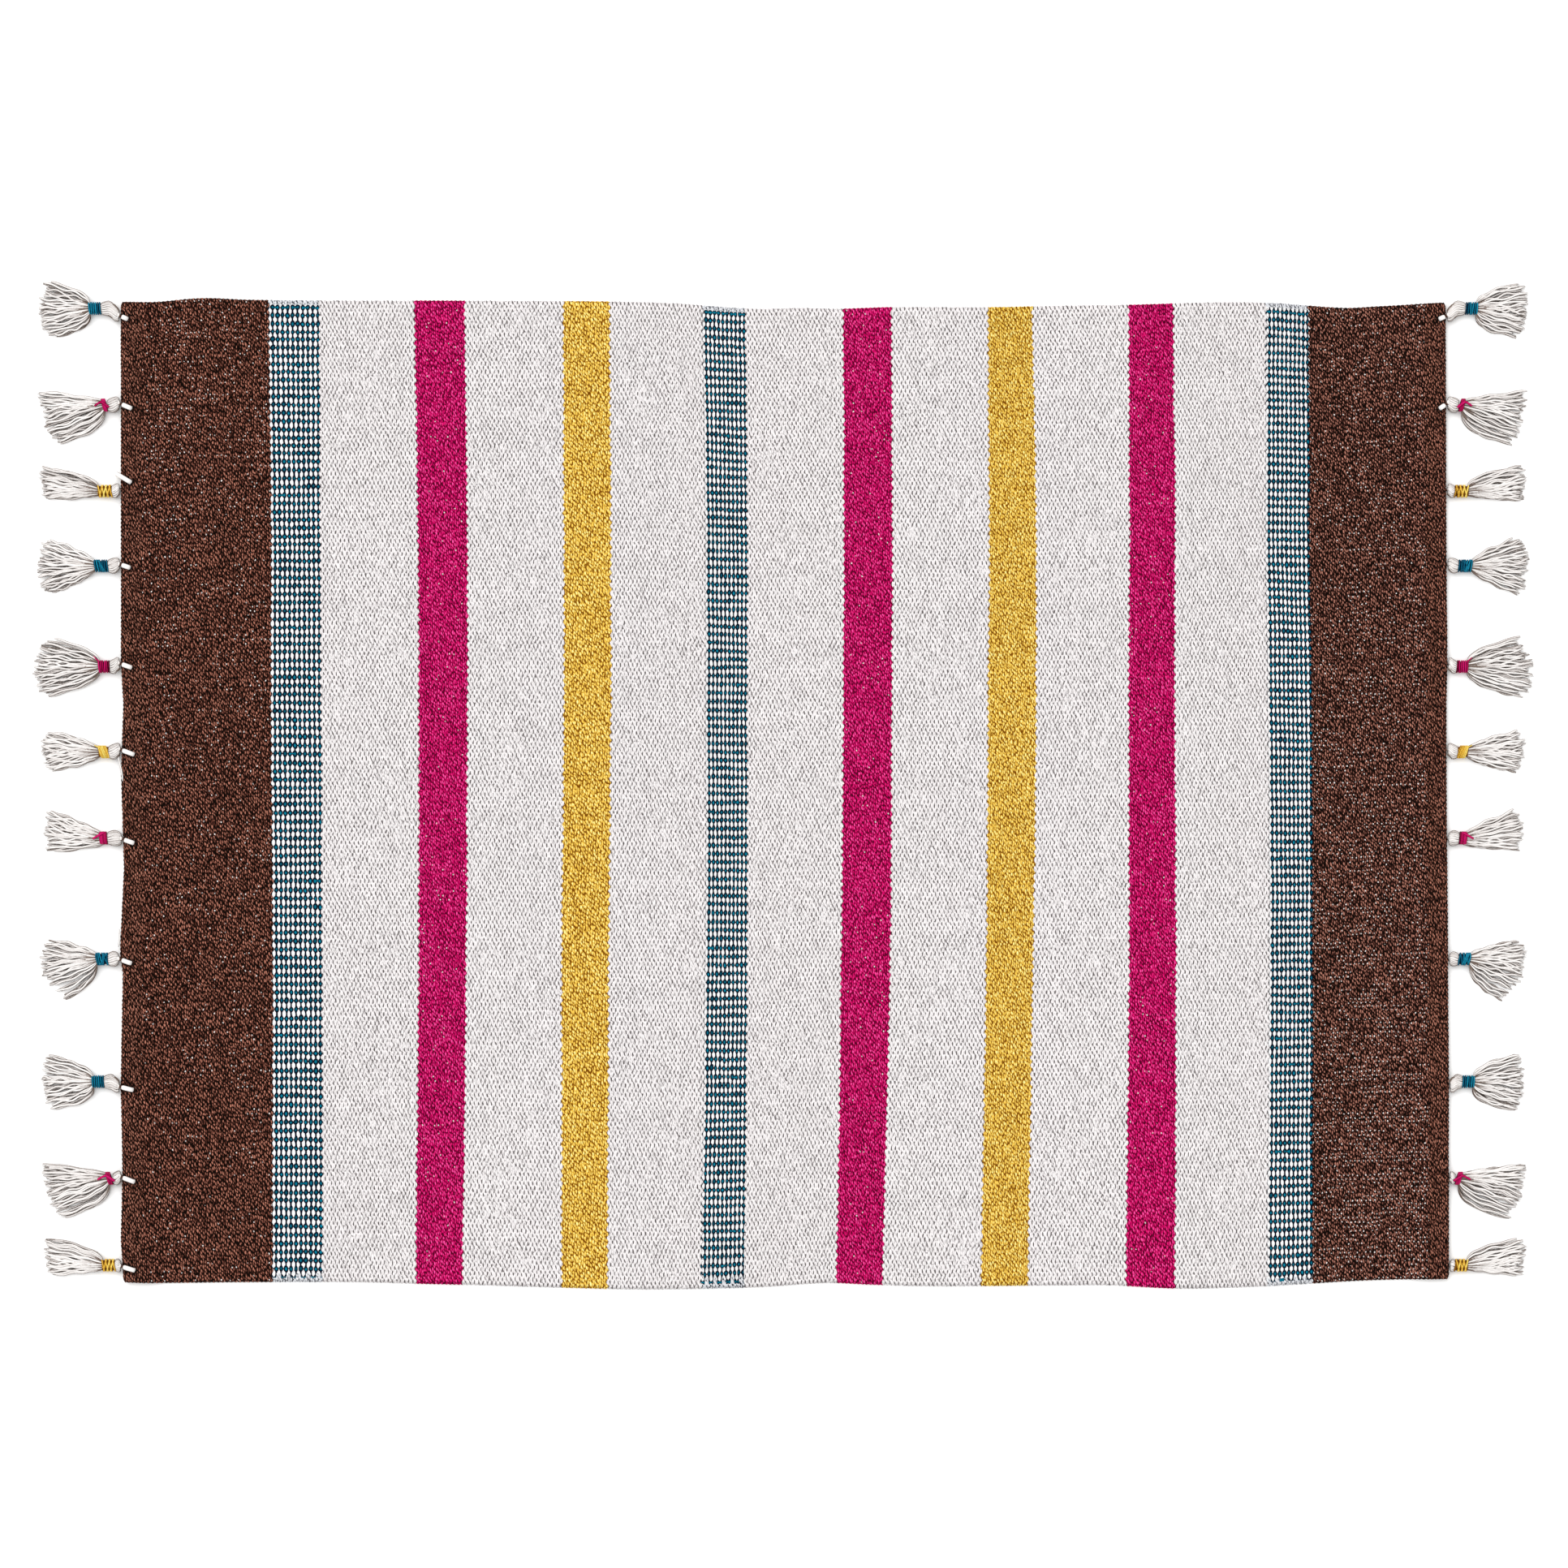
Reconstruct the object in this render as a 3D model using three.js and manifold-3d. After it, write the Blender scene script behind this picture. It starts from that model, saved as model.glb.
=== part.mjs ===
// Flat-woven striped cotton rug with eleven tassels along each short end.
//
// The rug lies flat on the surface, face up. All sizes are in millimetres.
// +X runs along the rug's length, +Y across it, +Z up. The origin is on the surface, under the
// middle of the whole outline, tassels included.

import * as THREE from 'three';
import { mergeVertices } from 'three/addons/utils/BufferGeometryUtils.js';
import Module from 'manifold-3d';

const wasm = await Module();
wasm.setup();

const CLEARANCE = 0.3;          // between pieces

// Cloth
const HALF_LENGTH = 409;        // middle of the rug to the fold at an end
const FIELD_THICK = 3;          // striped field
const HEADING_THICK = 1.8;      // closer woven heading at each end, which makes the hem
const HEM_DEPTH = 12.5;         // heading folded under
const HEM_GAP = 0.3;            // air between the two layers of the hem
const RAMP_START = HEM_DEPTH + 1;
const RAMP_LENGTH = 15;         // over which the cloth climbs from the surface onto its hem
const CORNER_RADIUS = 2.5;
const WAVER_FADE = { from: 30, to: 120 };   // set back at which an end's waver fades out
const FOLD_STEPS = 4;
const RAMP_STEPS = 4;
const FIELD_STEPS = 12;         // stations from the ramp to the middle of the rug

// Hanging cord of a tassel, a flat white cord through the hem
const CORD_WIDTH = 3;
const CORD_THICK = 1.4;
const CORD_SLACK = 1.2;         // how loosely it goes around the fold
const CORD_BEND = 1.3;          // radius at which it dives through the hem
const CORD_STEP = 1.7;
const CORD_ROOT = { out: 1.6, rise: 1.3 };  // its ends inside the tassel's head
const CORD_LAP = 0.3;           // past the middle of the hem, where its two halves meet
const CORD_SAG = 0.1;           // dip of its flat stretch before a bend
const STITCH_SLACK = 0.8;       // by which its hole is pulled open towards the fold

// Tassel
const AXIS_HEIGHT = 4;          // of the neck and head above the surface
const NECK_RADIUS = 3;
const BINDING_THICK = 0.6;
const HEAD_GAP = 0.45;          // between the head and the fold of the hem
const SHORTEST_HEAD = 1.6;
const FULL_HEAD = 6;            // length from which a head is a full ball
const HEAD_STATIONS = [         // share of the head's length, and half its width and height
  { along: 0, slim: { wide: 2.6, high: 2.6 }, full: { wide: 3, high: 2.9 } },
  { along: 0.45, slim: { wide: 3.6, high: 3.2 }, full: { wide: 5, high: 3.9 } },
  { along: 0.85, slim: { wide: 3, high: 3 }, full: { wide: 4, high: 3.6 } },
];
const SKIRT_STATIONS = [        // how far along the strands, and half the skirt's thickness there
  { along: 0.2, half: 3 },
  { along: 0.55, half: 2.2 },
  { along: 1, half: 1.5 },
];
const SKIRT_FLATNESS = 1.5;     // how soon the skirt's upper and under side turn level
const RING_POINTS = 8;          // around the head, neck and skirt
const BINDING_SIDES = 8;

// Levels of the hem, which lies on the cords that pass under it
const HEM_UNDERSIDE = CORD_SAG + CORD_THICK + CLEARANCE;
const FOLD_OUTER = HEADING_THICK + HEM_GAP / 2;
const FOLD_INNER = HEM_GAP / 2;
const FOLD_HEIGHT = HEM_UNDERSIDE + FOLD_OUTER;
const HEM_TOP = FOLD_HEIGHT + FOLD_OUTER;

// The two long edges seen from above, as the cloth really lies
const FAR_EDGE = [
  { x: -405, y: 297.5 }, { x: -388, y: 297.5 }, { x: -358, y: 300 }, { x: -330, y: 299 },
  { x: -279, y: 298.5 }, { x: -213, y: 298.5 }, { x: -113, y: 298 }, { x: -69, y: 297 },
  { x: -43, y: 295 }, { x: -16, y: 293.5 }, { x: 12, y: 294 }, { x: 35, y: 293.5 },
  { x: 67, y: 294.5 }, { x: 132, y: 294.5 }, { x: 177, y: 295.5 }, { x: 217, y: 296 },
  { x: 267, y: 297.5 }, { x: 302, y: 297 }, { x: 345, y: 294 }, { x: 367, y: 295 },
  { x: 405, y: 297 },
];
const NEAR_EDGE = [
  { x: -405, y: -306 }, { x: -388, y: -306.5 }, { x: -333, y: -306 }, { x: -263, y: -306 },
  { x: -225, y: -307 }, { x: -183, y: -308 }, { x: -133, y: -309.5 }, { x: -88, y: -310.5 },
  { x: -48, y: -310 }, { x: -13, y: -309 }, { x: 27, y: -306.5 }, { x: 52, y: -307.5 },
  { x: 90, y: -308.5 }, { x: 167, y: -308 }, { x: 202, y: -308 }, { x: 245, y: -310 },
  { x: 297, y: -308.5 }, { x: 347, y: -305.5 }, { x: 372, y: -304.5 }, { x: 405, y: -304 },
];

// How far each end stands out past HALF_LENGTH, by the place across the rug
const END_WAVER = [
  { y: -304, left: -2, right: 1.5 },
  { y: -280, left: -0.6, right: 1.5 },
  { y: -236, left: -1.5, right: 1.5 },
  { y: -186, left: -0.5, right: 1.5 },
  { y: -116, left: -1.8, right: 1 },
  { y: -104, left: 0, right: 1 },
  { y: -50, left: -2.5, right: 0.5 },
  { y: 9, left: -0.6, right: 0 },
  { y: 50, left: -2, right: 0 },
  { y: 76, left: -0.5, right: 0.5 },
  { y: 164, left: -0.6, right: 0 },
  { y: 297, left: -0.5, right: -0.5 },
];

// Skirt forms: where the strands end, out from the binding and to the side of its axis, at five
// places across the skirt, and how early its two sides flare, from 0, late, to 1, at once
const SKIRTS = {
  bulging: {
    ends: { near: [25, -17.5], low: [30, -10], mid: [31, -2], high: [31, 7], far: [28.5, 17] },
    flare: { near: 1, far: 0.45 },
  },
  drooping: {
    ends: { near: [27, -24], low: [31.5, -16], mid: [34, -8], high: [35.5, 2], far: [35.5, 8.5] },
    flare: { near: 0.7, far: 0.4 },
  },
  slim_rising: {
    ends: { near: [34, -5.5], low: [34.5, -1], mid: [35, 4], high: [36, 9.5], far: [34.5, 16] },
    flare: { near: 0.8, far: 0.3 },
  },
  even: {
    ends: { near: [30, -17.5], low: [34.5, -9.5], mid: [35.5, 0], high: [35, 9], far: [29, 17] },
    flare: { near: 0.3, far: 0.25 },
  },
  large: {
    ends: { near: [34.5, -19], low: [40, -11], mid: [40.5, -1], high: [39, 7.5], far: [32.5, 17] },
    flare: { near: 0.5, far: 0.6 },
  },
  slim: {
    ends: { near: [30.5, -12], low: [34.5, -6], mid: [35.5, 0], high: [35.5, 7], far: [31, 13] },
    flare: { near: 0.6, far: 0.25 },
  },
  rising: {
    ends: { near: [30, -7.5], low: [31, -1.5], mid: [32, 5], high: [32, 11.5], far: [28.5, 16.5] },
    flare: { near: 1, far: 0.2 },
  },
  splayed: {
    ends: { near: [21, -26], low: [32, -13], mid: [34, -5], high: [35, 5], far: [29, 11.5] },
    flare: { near: 0.3, far: 0.5 },
  },
};
const ACROSS = { near: -1, low: -0.5, mid: 0, high: 0.5, far: 1 };
const BEND_OUT = { late: 0.42, early: -0.03 };  // a strand's bend, as a share of its reach
const BEND_ASIDE = { late: 0.3, early: 0.85 };  // and of its sideways travel

// Tassels from the far corner to the near one, alike at both ends: the binding's place across the
// rug and its inner and outer end from the rug's middle, and the skirt's form. The cord's stitch
// starts on the fold at y, dives at a depth set back from it, and drifts sideways on the way.
const TASSELS = [
  { y: 293.5, inner: 419.5, outer: 428, skirt: 'bulging', stitch: { y: 289, depth: 4.6, drift: -2 } },
  { y: 234, inner: 415, outer: 423, skirt: 'drooping', stitch: { y: 235, depth: 7, drift: -3 } },
  { y: 181, inner: 412.5, outer: 422.5, skirt: 'slim_rising', stitch: { y: 182, depth: 6.7, drift: -2 } },
  { y: 135, inner: 415, outer: 424.5, skirt: 'even', stitch: { y: 136, depth: 6, drift: -2 } },
  { y: 73, inner: 414, outer: 422, skirt: 'large', stitch: { y: 75, depth: 7, drift: -2.5 } },
  { y: 20.5, inner: 414.5, outer: 422, skirt: 'slim', stitch: { y: 22, depth: 8, drift: -3 } },
  { y: -32.5, inner: 415.5, outer: 424.5, skirt: 'rising', stitch: { y: -33, depth: 7, drift: -2.5 } },
  { y: -107, inner: 415, outer: 423.5, skirt: 'splayed', stitch: { y: -107, depth: 7, drift: -2.5 } },
  { y: -182.5, inner: 417.5, outer: 426, skirt: 'bulging', stitch: { y: -185.5, depth: 8, drift: -2 } },
  { y: -242, inner: 411.5, outer: 421, skirt: 'drooping', stitch: { y: -241, depth: 8, drift: -3 } },
  { y: -295.5, inner: 410.5, outer: 420, skirt: 'slim_rising', stitch: { y: -296, depth: 8, drift: -2.5 } },
];
const BINDINGS = [
  'teal', 'magenta', 'mustard', 'teal', 'magenta', 'mustard',
  'magenta', 'teal', 'teal', 'magenta', 'mustard',
];
// At the left end every cord shows on top of the hem. At the right end the first two do, and the
// others are caught in the hem's under layer. The third cord at the left end lies askew: it goes
// around the fold a little farther along the edge than its head, and is tucked under there.
const ENDS = {
  left: { sign: -1, cordsOnTop: 11, askew: { tassel: 2, y: 190.5, drift: -4 } },
  right: { sign: 1, cordsOnTop: 2 },
};

const FINISHES = {
  cloth: { color: 0xdcd7d2, roughness: 0.95 },
  yarn: { color: 0xe2dcd5, roughness: 0.9 },
  teal: { color: 0x0f6f86, roughness: 0.6 },
  magenta: { color: 0xb5165a, roughness: 0.6 },
  mustard: { color: 0xd9a32e, roughness: 0.6 },
};

const { clamp, degToRad, lerp, smoothstep } = THREE.MathUtils;

// A place in a table: the row before it, the row after it and the share of the way between them
function placeIn(rows, column, at) {
  const last = rows.length - 1;
  const place = clamp(at, rows[0][column], rows[last][column]);
  const after = rows.findIndex((row, k) => k > 0 && (k === last || place <= row[column]));
  const share = (place - rows[after - 1][column]) / (rows[after][column] - rows[after - 1][column]);
  return { after, share };
}

// A table's column read along straight lines between its rows
function straight(rows, from, to, at) {
  const { after, share } = placeIn(rows, from, at);
  return lerp(rows[after - 1][to], rows[after][to], share);
}

// A table's column read along a smooth curve through its rows
function smooth(rows, from, to, at) {
  const { after, share } = placeIn(rows, from, at);
  const slope = (k) => {
    const a = rows[Math.max(k - 1, 0)];
    const b = rows[Math.min(k + 1, rows.length - 1)];
    return (b[to] - a[to]) / (b[from] - a[from]);
  };
  const rise = rows[after - 1][to] * (2 * share ** 3 - 3 * share ** 2 + 1)
    + rows[after][to] * (3 * share ** 2 - 2 * share ** 3);
  const lean = slope(after - 1) * (share ** 3 - 2 * share ** 2 + share)
    + slope(after) * (share ** 3 - share ** 2);
  return rise + lean * (rows[after][from] - rows[after - 1][from]);
}

// Where the fold of an end's hem lies, as a distance from the rug's middle
const foldAt = (end, y) => HALF_LENGTH + straight(END_WAVER, 'y', end, y);

// A closed surface over rings of points, all of one length. Each end is closed by strips between
// the points that face each other across the ring; `facing` gives a point's opposite number.
function ringLoft(rings, facing) {
  const around = rings[0].length;
  const faces = [];
  const triangle = (a, b, c) => {
    if (a !== b && b !== c && c !== a) {
      faces.push(a, b, c);
    }
  };
  const at = (ring, k) => ring * around + ((k + around) % around);
  for (let ring = 0; ring + 1 < rings.length; ring += 1) {
    for (let k = 0; k < around; k += 1) {
      triangle(at(ring, k), at(ring, k + 1), at(ring + 1, k + 1));
      triangle(at(ring, k), at(ring + 1, k + 1), at(ring + 1, k));
    }
  }
  const last = rings.length - 1;
  for (let k = 0; k < around / 2; k += 1) {
    const corners = [k, k + 1, facing(k + 1), facing(k)];
    const [a, b, c, d] = corners.map((corner) => at(0, corner));
    triangle(a, c, b);
    triangle(a, d, c);
    const [e, f, g, h] = corners.map((corner) => at(last, corner));
    triangle(e, f, g);
    triangle(e, g, h);
  }
  const geometry = new THREE.BufferGeometry();
  geometry.setAttribute('position', new THREE.BufferAttribute(
    new Float32Array(rings.flat().flatMap((point) => point.toArray())), 3,
  ));
  geometry.setIndex(faces);
  return geometry;
}

// A geometry as a solid. One that is mirrored has its faces turned over to point out again.
function solidOf(geometry, sign = 1) {
  const bare = geometry.clone().applyMatrix4(new THREE.Matrix4().makeScale(sign, 1, 1));
  bare.deleteAttribute('normal');
  bare.deleteAttribute('uv');
  const merged = mergeVertices(bare);
  const faces = new Uint32Array(merged.getIndex().array);
  if (sign < 0) {
    faces.reverse();
  }
  return new wasm.Manifold(new wasm.Mesh({
    numProp: 3,
    vertProperties: new Float32Array(merged.getAttribute('position').array),
    triVerts: faces,
  }));
}

function geometryOf(solid) {
  const { vertProperties, triVerts } = solid.getMesh();
  const geometry = new THREE.BufferGeometry();
  geometry.setAttribute('position', new THREE.BufferAttribute(vertProperties, 3));
  geometry.setIndex(new THREE.BufferAttribute(triVerts, 1));
  return geometry;
}

function mesh(name, geometry, finish) {
  const material = new THREE.MeshStandardMaterial({ ...FINISHES[finish], metalness: 0 });
  const made = new THREE.Mesh(geometry, material);
  made.name = name;
  return made;
}

// The rug's section from the raw end of a hem to the middle of the rug. Each station has a point
// on the cloth's face and one on its back, as a set back from the fold and a height.
function clothStations() {
  const stations = [{
    face: [HEM_DEPTH, HEM_UNDERSIDE],
    back: [HEM_DEPTH, HEM_UNDERSIDE + HEADING_THICK],
  }];
  for (let i = 0; i <= FOLD_STEPS; i += 1) {
    const angle = Math.PI * (i / FOLD_STEPS - 0.5);
    const onArc = (radius) => [
      FOLD_OUTER - radius * Math.cos(angle),
      FOLD_HEIGHT + radius * Math.sin(angle),
    ];
    stations.push({ face: onArc(FOLD_OUTER), back: onArc(FOLD_INNER) });
  }
  for (let i = 0; i <= RAMP_STEPS; i += 1) {
    const fall = smoothstep(i, 0, RAMP_STEPS);
    const setBack = RAMP_START + RAMP_LENGTH * (i / RAMP_STEPS);
    stations.push({
      face: [setBack, lerp(HEM_TOP, FIELD_THICK, fall)],
      back: [setBack, lerp(FOLD_HEIGHT + FOLD_INNER, 0, fall)],
    });
  }
  for (let i = 1; i <= FIELD_STEPS; i += 1) {
    const setBack = lerp(RAMP_START + RAMP_LENGTH, HALF_LENGTH, i / FIELD_STEPS);
    stations.push({ face: [setBack, FIELD_THICK], back: [setBack, 0] });
  }
  return stations;
}

// A point of the cloth. `across` runs from 0 at the near edge to 1 at the far one.
function clothPoint(end, [setBack, height], across) {
  const { sign } = ENDS[end];
  const x = sign * (HALF_LENGTH - setBack);
  const short = Math.max(CORNER_RADIUS - setBack, 0);
  const rounding = CORNER_RADIUS - Math.sqrt(CORNER_RADIUS ** 2 - short ** 2);
  const near = smooth(NEAR_EDGE, 'x', 'y', x) + rounding;
  const far = smooth(FAR_EDGE, 'x', 'y', x) - rounding;
  const y = lerp(near, far, across);
  const held = 1 - smoothstep(setBack, WAVER_FADE.from, WAVER_FADE.to);
  const waver = held * straight(END_WAVER, 'y', end, y);
  return new THREE.Vector3(x + sign * waver, y, height);
}

// The rug is one cloth. Each ring runs over its face from one hem to the other and back underneath.
function clothSolid() {
  const stations = clothStations();
  const width = END_WAVER.at(-1).y - END_WAVER[0].y;
  const rings = END_WAVER.map((row) => {
    const across = (row.y - END_WAVER[0].y) / width;
    const line = (side) => [
      ...stations.map((station) => clothPoint('left', station[side], across)),
      ...stations.slice(0, -1).reverse().map((station) => clothPoint('right', station[side], across)),
    ];
    return [...line('face'), ...line('back').reverse()];
  });
  return solidOf(ringLoft(rings, (k) => rings[0].length - 1 - k));
}

// The two halves of a tassel's cord at an end, over the hem and under it: where each leaves the
// fold, how far it drifts sideways by the hole, and whether it ends in the tassel's head
function cordHalves(end, index) {
  const { askew, cordsOnTop } = ENDS[end];
  const { y, depth, drift } = TASSELS[index].stitch;
  if (index >= cordsOnTop) {
    return [{ side: -1, y, drift, depth, rooted: true, stops: true }];
  }
  const over = askew?.tassel === index ? { ...askew, rooted: false } : { y, drift, rooted: true };
  return [
    { side: 1, depth, ...over },
    { side: -1, depth, y, drift: over.y + over.drift - y, rooted: true },
  ];
}

// Lays a shape made along -X, in from the fold at Y 0, where a half of a cord runs
function layAt(end, { y, drift, depth }, geometry) {
  const drifting = new THREE.Matrix4().makeShear(-drift / depth, 0, 0, 0, 0, 0);
  return geometry.applyMatrix4(drifting.setPosition(foldAt(end, y), y, 0));
}

// Half of a hanging cord: out of the head, loosely around the fold, and down or up into the hem.
// A half that isn't rooted in the head comes around from under the fold instead.
function cordGeometry(end, half) {
  const { side, depth, rooted, stops } = half;
  const level = FOLD_OUTER + CLEARANCE + CORD_THICK / 2;
  const place = (setBack, rise) => new THREE.Vector3(-setBack, 0, FOLD_HEIGHT + side * rise);
  const around = (degrees) => {
    const angle = degToRad(degrees);
    return place(FOLD_OUTER - (level + CORD_SLACK) * Math.cos(angle), level * Math.sin(angle));
  };
  const dive = (degrees) => {
    const angle = degToRad(degrees);
    return place(depth - CORD_BEND * (1 - Math.sin(angle)), level - CORD_BEND * (1 - Math.cos(angle)));
  };
  const route = [
    ...(rooted ? [place(-CORD_ROOT.out, CORD_ROOT.rise)] : [-100, -80, -45, 0].map(around)),
    ...[45, 68, 90].map(around),
    ...[0, 45, 90].map(dive),
    ...(stops ? [] : [place(depth, -CORD_LAP)]),
  ];
  const [wide, thick] = [CORD_WIDTH / 2, CORD_THICK / 2];
  const section = new THREE.Shape([
    new THREE.Vector2(wide, -thick),
    new THREE.Vector2(wide, thick),
    new THREE.Vector2(-wide, thick),
    new THREE.Vector2(-wide, -thick),
  ]);
  const path = new THREE.CatmullRomCurve3(route);
  const steps = Math.round(path.getLength() / CORD_STEP);
  return layAt(end, half, new THREE.ExtrudeGeometry(section, { steps, extrudePath: path }));
}

// The hole of a cord's stitch, through both layers of the hem or through the under one only
function holeGeometry(end, index) {
  const halves = cordHalves(end, index);
  const [{ y, drift, depth, stops }] = halves;
  const steepest = Math.max(...halves.map((half) => Math.abs(half.drift / half.depth)));
  const top = stops ? FOLD_HEIGHT : HEM_TOP + 1;
  const hole = new THREE.BoxGeometry(
    CORD_THICK + 2 * CLEARANCE + STITCH_SLACK,
    CORD_WIDTH + 2 * CLEARANCE + steepest * CORD_THICK,
    top,
  );
  return hole.translate(foldAt(end, y) - depth + STITCH_SLACK / 2, y + drift, top / 2);
}

// Where the strand at a place across a skirt is, at a share of its length from the binding
function strandPoint(skirt, across, share) {
  const { ends, flare } = SKIRTS[skirt];
  const rows = Object.entries(ACROSS).map(([name, place]) => ({
    place, out: ends[name][0], aside: ends[name][1],
  }));
  const out = smooth(rows, 'place', 'out', across);
  const aside = smooth(rows, 'place', 'aside', across);
  const early = Math.abs(across) * lerp(flare.near, flare.far, (across + 1) / 2);
  const start = across * NECK_RADIUS;
  const bend = {
    out: out * lerp(BEND_OUT.late, BEND_OUT.early, early),
    aside: lerp(start, aside, lerp(BEND_ASIDE.late, BEND_ASIDE.early, early)),
  };
  const weight = 2 * share * (1 - share);
  return {
    out: weight * bend.out + share ** 2 * out,
    aside: (1 - share) ** 2 * start + weight * bend.aside + share ** 2 * aside,
  };
}

// Places of a tassel along its axis, from the rug's middle. A head that would be tucked under the
// hem lies against it instead, with its binding moved out by as much.
function tasselPlaces(end, index) {
  const { inner, outer, stitch } = TASSELS[index];
  const facing = [-NECK_RADIUS, 0, NECK_RADIUS].map((aside) => foldAt(end, stitch.y + aside));
  const tip = Math.max(...facing) + HEAD_GAP;
  const moved = Math.max(tip + SHORTEST_HEAD - inner, 0);
  return { tip, inner: inner + moved, outer: outer + moved };
}

// Head, neck and skirt of a tassel, as rings along its strands
function hankGeometry(end, index) {
  const { y, skirt, stitch } = TASSELS[index];
  const { tip, inner, outer } = tasselPlaces(end, index);
  const ring = (place) => Array.from({ length: RING_POINTS }, (_, k) => {
    const angle = (2 * Math.PI * k) / RING_POINTS;
    return place(Math.cos(angle), Math.sin(angle));
  });
  const round = (x, middle, { wide, high }) => ring((across, up) => (
    new THREE.Vector3(x, middle + wide * across, AXIS_HEIGHT + high * up)
  ));
  const fullness = clamp((inner - tip) / FULL_HEAD, 0, 1);
  const neck = { wide: NECK_RADIUS, high: NECK_RADIUS };
  const head = HEAD_STATIONS.map(({ along, slim, full }) => round(
    lerp(tip, inner, along),
    lerp(stitch.y, y, along),
    { wide: lerp(slim.wide, full.wide, fullness), high: lerp(slim.high, full.high, fullness) },
  ));
  const opened = SKIRT_STATIONS.map(({ along, half }) => ring((across, up) => {
    const { out, aside } = strandPoint(skirt, across, along);
    const level = clamp(SKIRT_FLATNESS * up, -1, 1);
    return new THREE.Vector3(outer + out, y + aside, half + half * level);
  }));
  const rings = [...head, round(inner, y, neck), round(outer, y, neck), ...opened];
  return ringLoft(rings, (k) => RING_POINTS - k);
}

function tasselMesh(end, index, label) {
  const { sign } = ENDS[end];
  const cords = cordHalves(end, index).map((half) => solidOf(cordGeometry(end, half), sign));
  const tassel = cords.reduce((whole, cord) => whole.add(cord), solidOf(hankGeometry(end, index), sign));
  return mesh(`tassel_${label}`, geometryOf(tassel), 'yarn');
}

// The coloured binding, a close band of turns around the tassel's neck
function bindingMesh(end, index, label) {
  const { inner, outer } = tasselPlaces(end, index);
  const radius = { in: NECK_RADIUS + CLEARANCE, out: NECK_RADIUS + CLEARANCE + BINDING_THICK };
  const half = (outer - inner) / 2 - CLEARANCE;
  const profile = [
    new THREE.Vector2(radius.in, -half),
    new THREE.Vector2(radius.out, -half),
    new THREE.Vector2(radius.out, half),
    new THREE.Vector2(radius.in, half),
    new THREE.Vector2(radius.in, -half),
  ];
  const band = new THREE.LatheGeometry(profile, BINDING_SIDES);
  const made = mesh(`binding_${label}`, band, BINDINGS[index]);
  made.rotation.z = Math.PI / 2;
  made.position.set(ENDS[end].sign * (inner + outer) / 2, TASSELS[index].y, AXIS_HEIGHT);
  return made;
}

const rug = new THREE.Group();
let cloth = clothSolid();
for (const end of Object.keys(ENDS)) {
  for (const index of TASSELS.keys()) {
    const label = `${end}_${String(index + 1).padStart(2, '0')}`;
    cloth = cloth.subtract(solidOf(holeGeometry(end, index), ENDS[end].sign));
    const tassel = new THREE.Group();
    tassel.add(tasselMesh(end, index, label), bindingMesh(end, index, label));
    rug.add(tassel);
  }
}
rug.add(mesh('rug', geometryOf(cloth), 'cloth'));

export default rug;
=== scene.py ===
"""Looks of a flat-woven striped cotton rug with tassels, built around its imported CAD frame.

Sizes here are in millimetres, in the rug's own frame: +X runs along its length, +Y across it and
+Z up, and the origin is on the surface under its middle. Meshes turn into metres as they are made.
A place in the weave is a pick, counted along the rug from the left hem's raw end, and a warp
thread, counted across it from the near edge.
"""

import logging
import math
from collections.abc import Callable
from dataclasses import dataclass, field
from enum import Enum
from typing import NamedTuple

import bpy
import numpy as np
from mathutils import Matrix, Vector


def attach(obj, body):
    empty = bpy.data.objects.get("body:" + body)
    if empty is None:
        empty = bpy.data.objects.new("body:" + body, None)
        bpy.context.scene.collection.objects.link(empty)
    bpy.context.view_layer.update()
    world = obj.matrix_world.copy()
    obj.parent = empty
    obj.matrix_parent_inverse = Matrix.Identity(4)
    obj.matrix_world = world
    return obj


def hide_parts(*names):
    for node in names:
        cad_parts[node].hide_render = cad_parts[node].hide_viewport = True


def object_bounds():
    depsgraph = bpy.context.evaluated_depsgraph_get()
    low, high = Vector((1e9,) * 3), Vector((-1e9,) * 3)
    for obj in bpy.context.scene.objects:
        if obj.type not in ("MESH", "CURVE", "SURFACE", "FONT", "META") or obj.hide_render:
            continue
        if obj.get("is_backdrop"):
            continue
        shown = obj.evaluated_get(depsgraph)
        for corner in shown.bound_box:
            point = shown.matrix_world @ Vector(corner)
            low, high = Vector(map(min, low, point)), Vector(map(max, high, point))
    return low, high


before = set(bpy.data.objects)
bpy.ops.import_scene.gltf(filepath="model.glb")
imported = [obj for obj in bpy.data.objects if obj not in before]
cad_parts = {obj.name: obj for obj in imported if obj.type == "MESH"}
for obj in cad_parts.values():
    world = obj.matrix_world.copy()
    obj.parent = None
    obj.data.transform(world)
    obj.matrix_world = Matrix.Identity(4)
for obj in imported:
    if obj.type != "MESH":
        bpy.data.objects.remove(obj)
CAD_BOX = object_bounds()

LOG = logging.getLogger("rug")
METRES = 0.001                     # metres in a millimetre
SEED = 41
RUG_NODE = "rug"
BODY = "root"
HALF_LENGTH = 409.0                # from the rug's middle to a fold
LIGHT_LEVEL = 1.2                  # how bright the studio light shows a flat white surface
YARN_SPECULAR = 0.06               # how much the matt yarn shines

Rgb = tuple[int, int, int]
Field = np.ndarray                 # numbers over a grid, or along a line


class End(Enum):
    """The two short ends of the rug, and the way out along X at each."""

    LEFT = -1
    RIGHT = 1


class EdgePoint(NamedTuple):
    """A point of a long edge, seen from above."""

    x: float
    y: float


class Waver(NamedTuple):
    """How far each end's fold stands out past the rug's half length, at a place across it."""

    y: float
    left: float
    right: float


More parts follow.
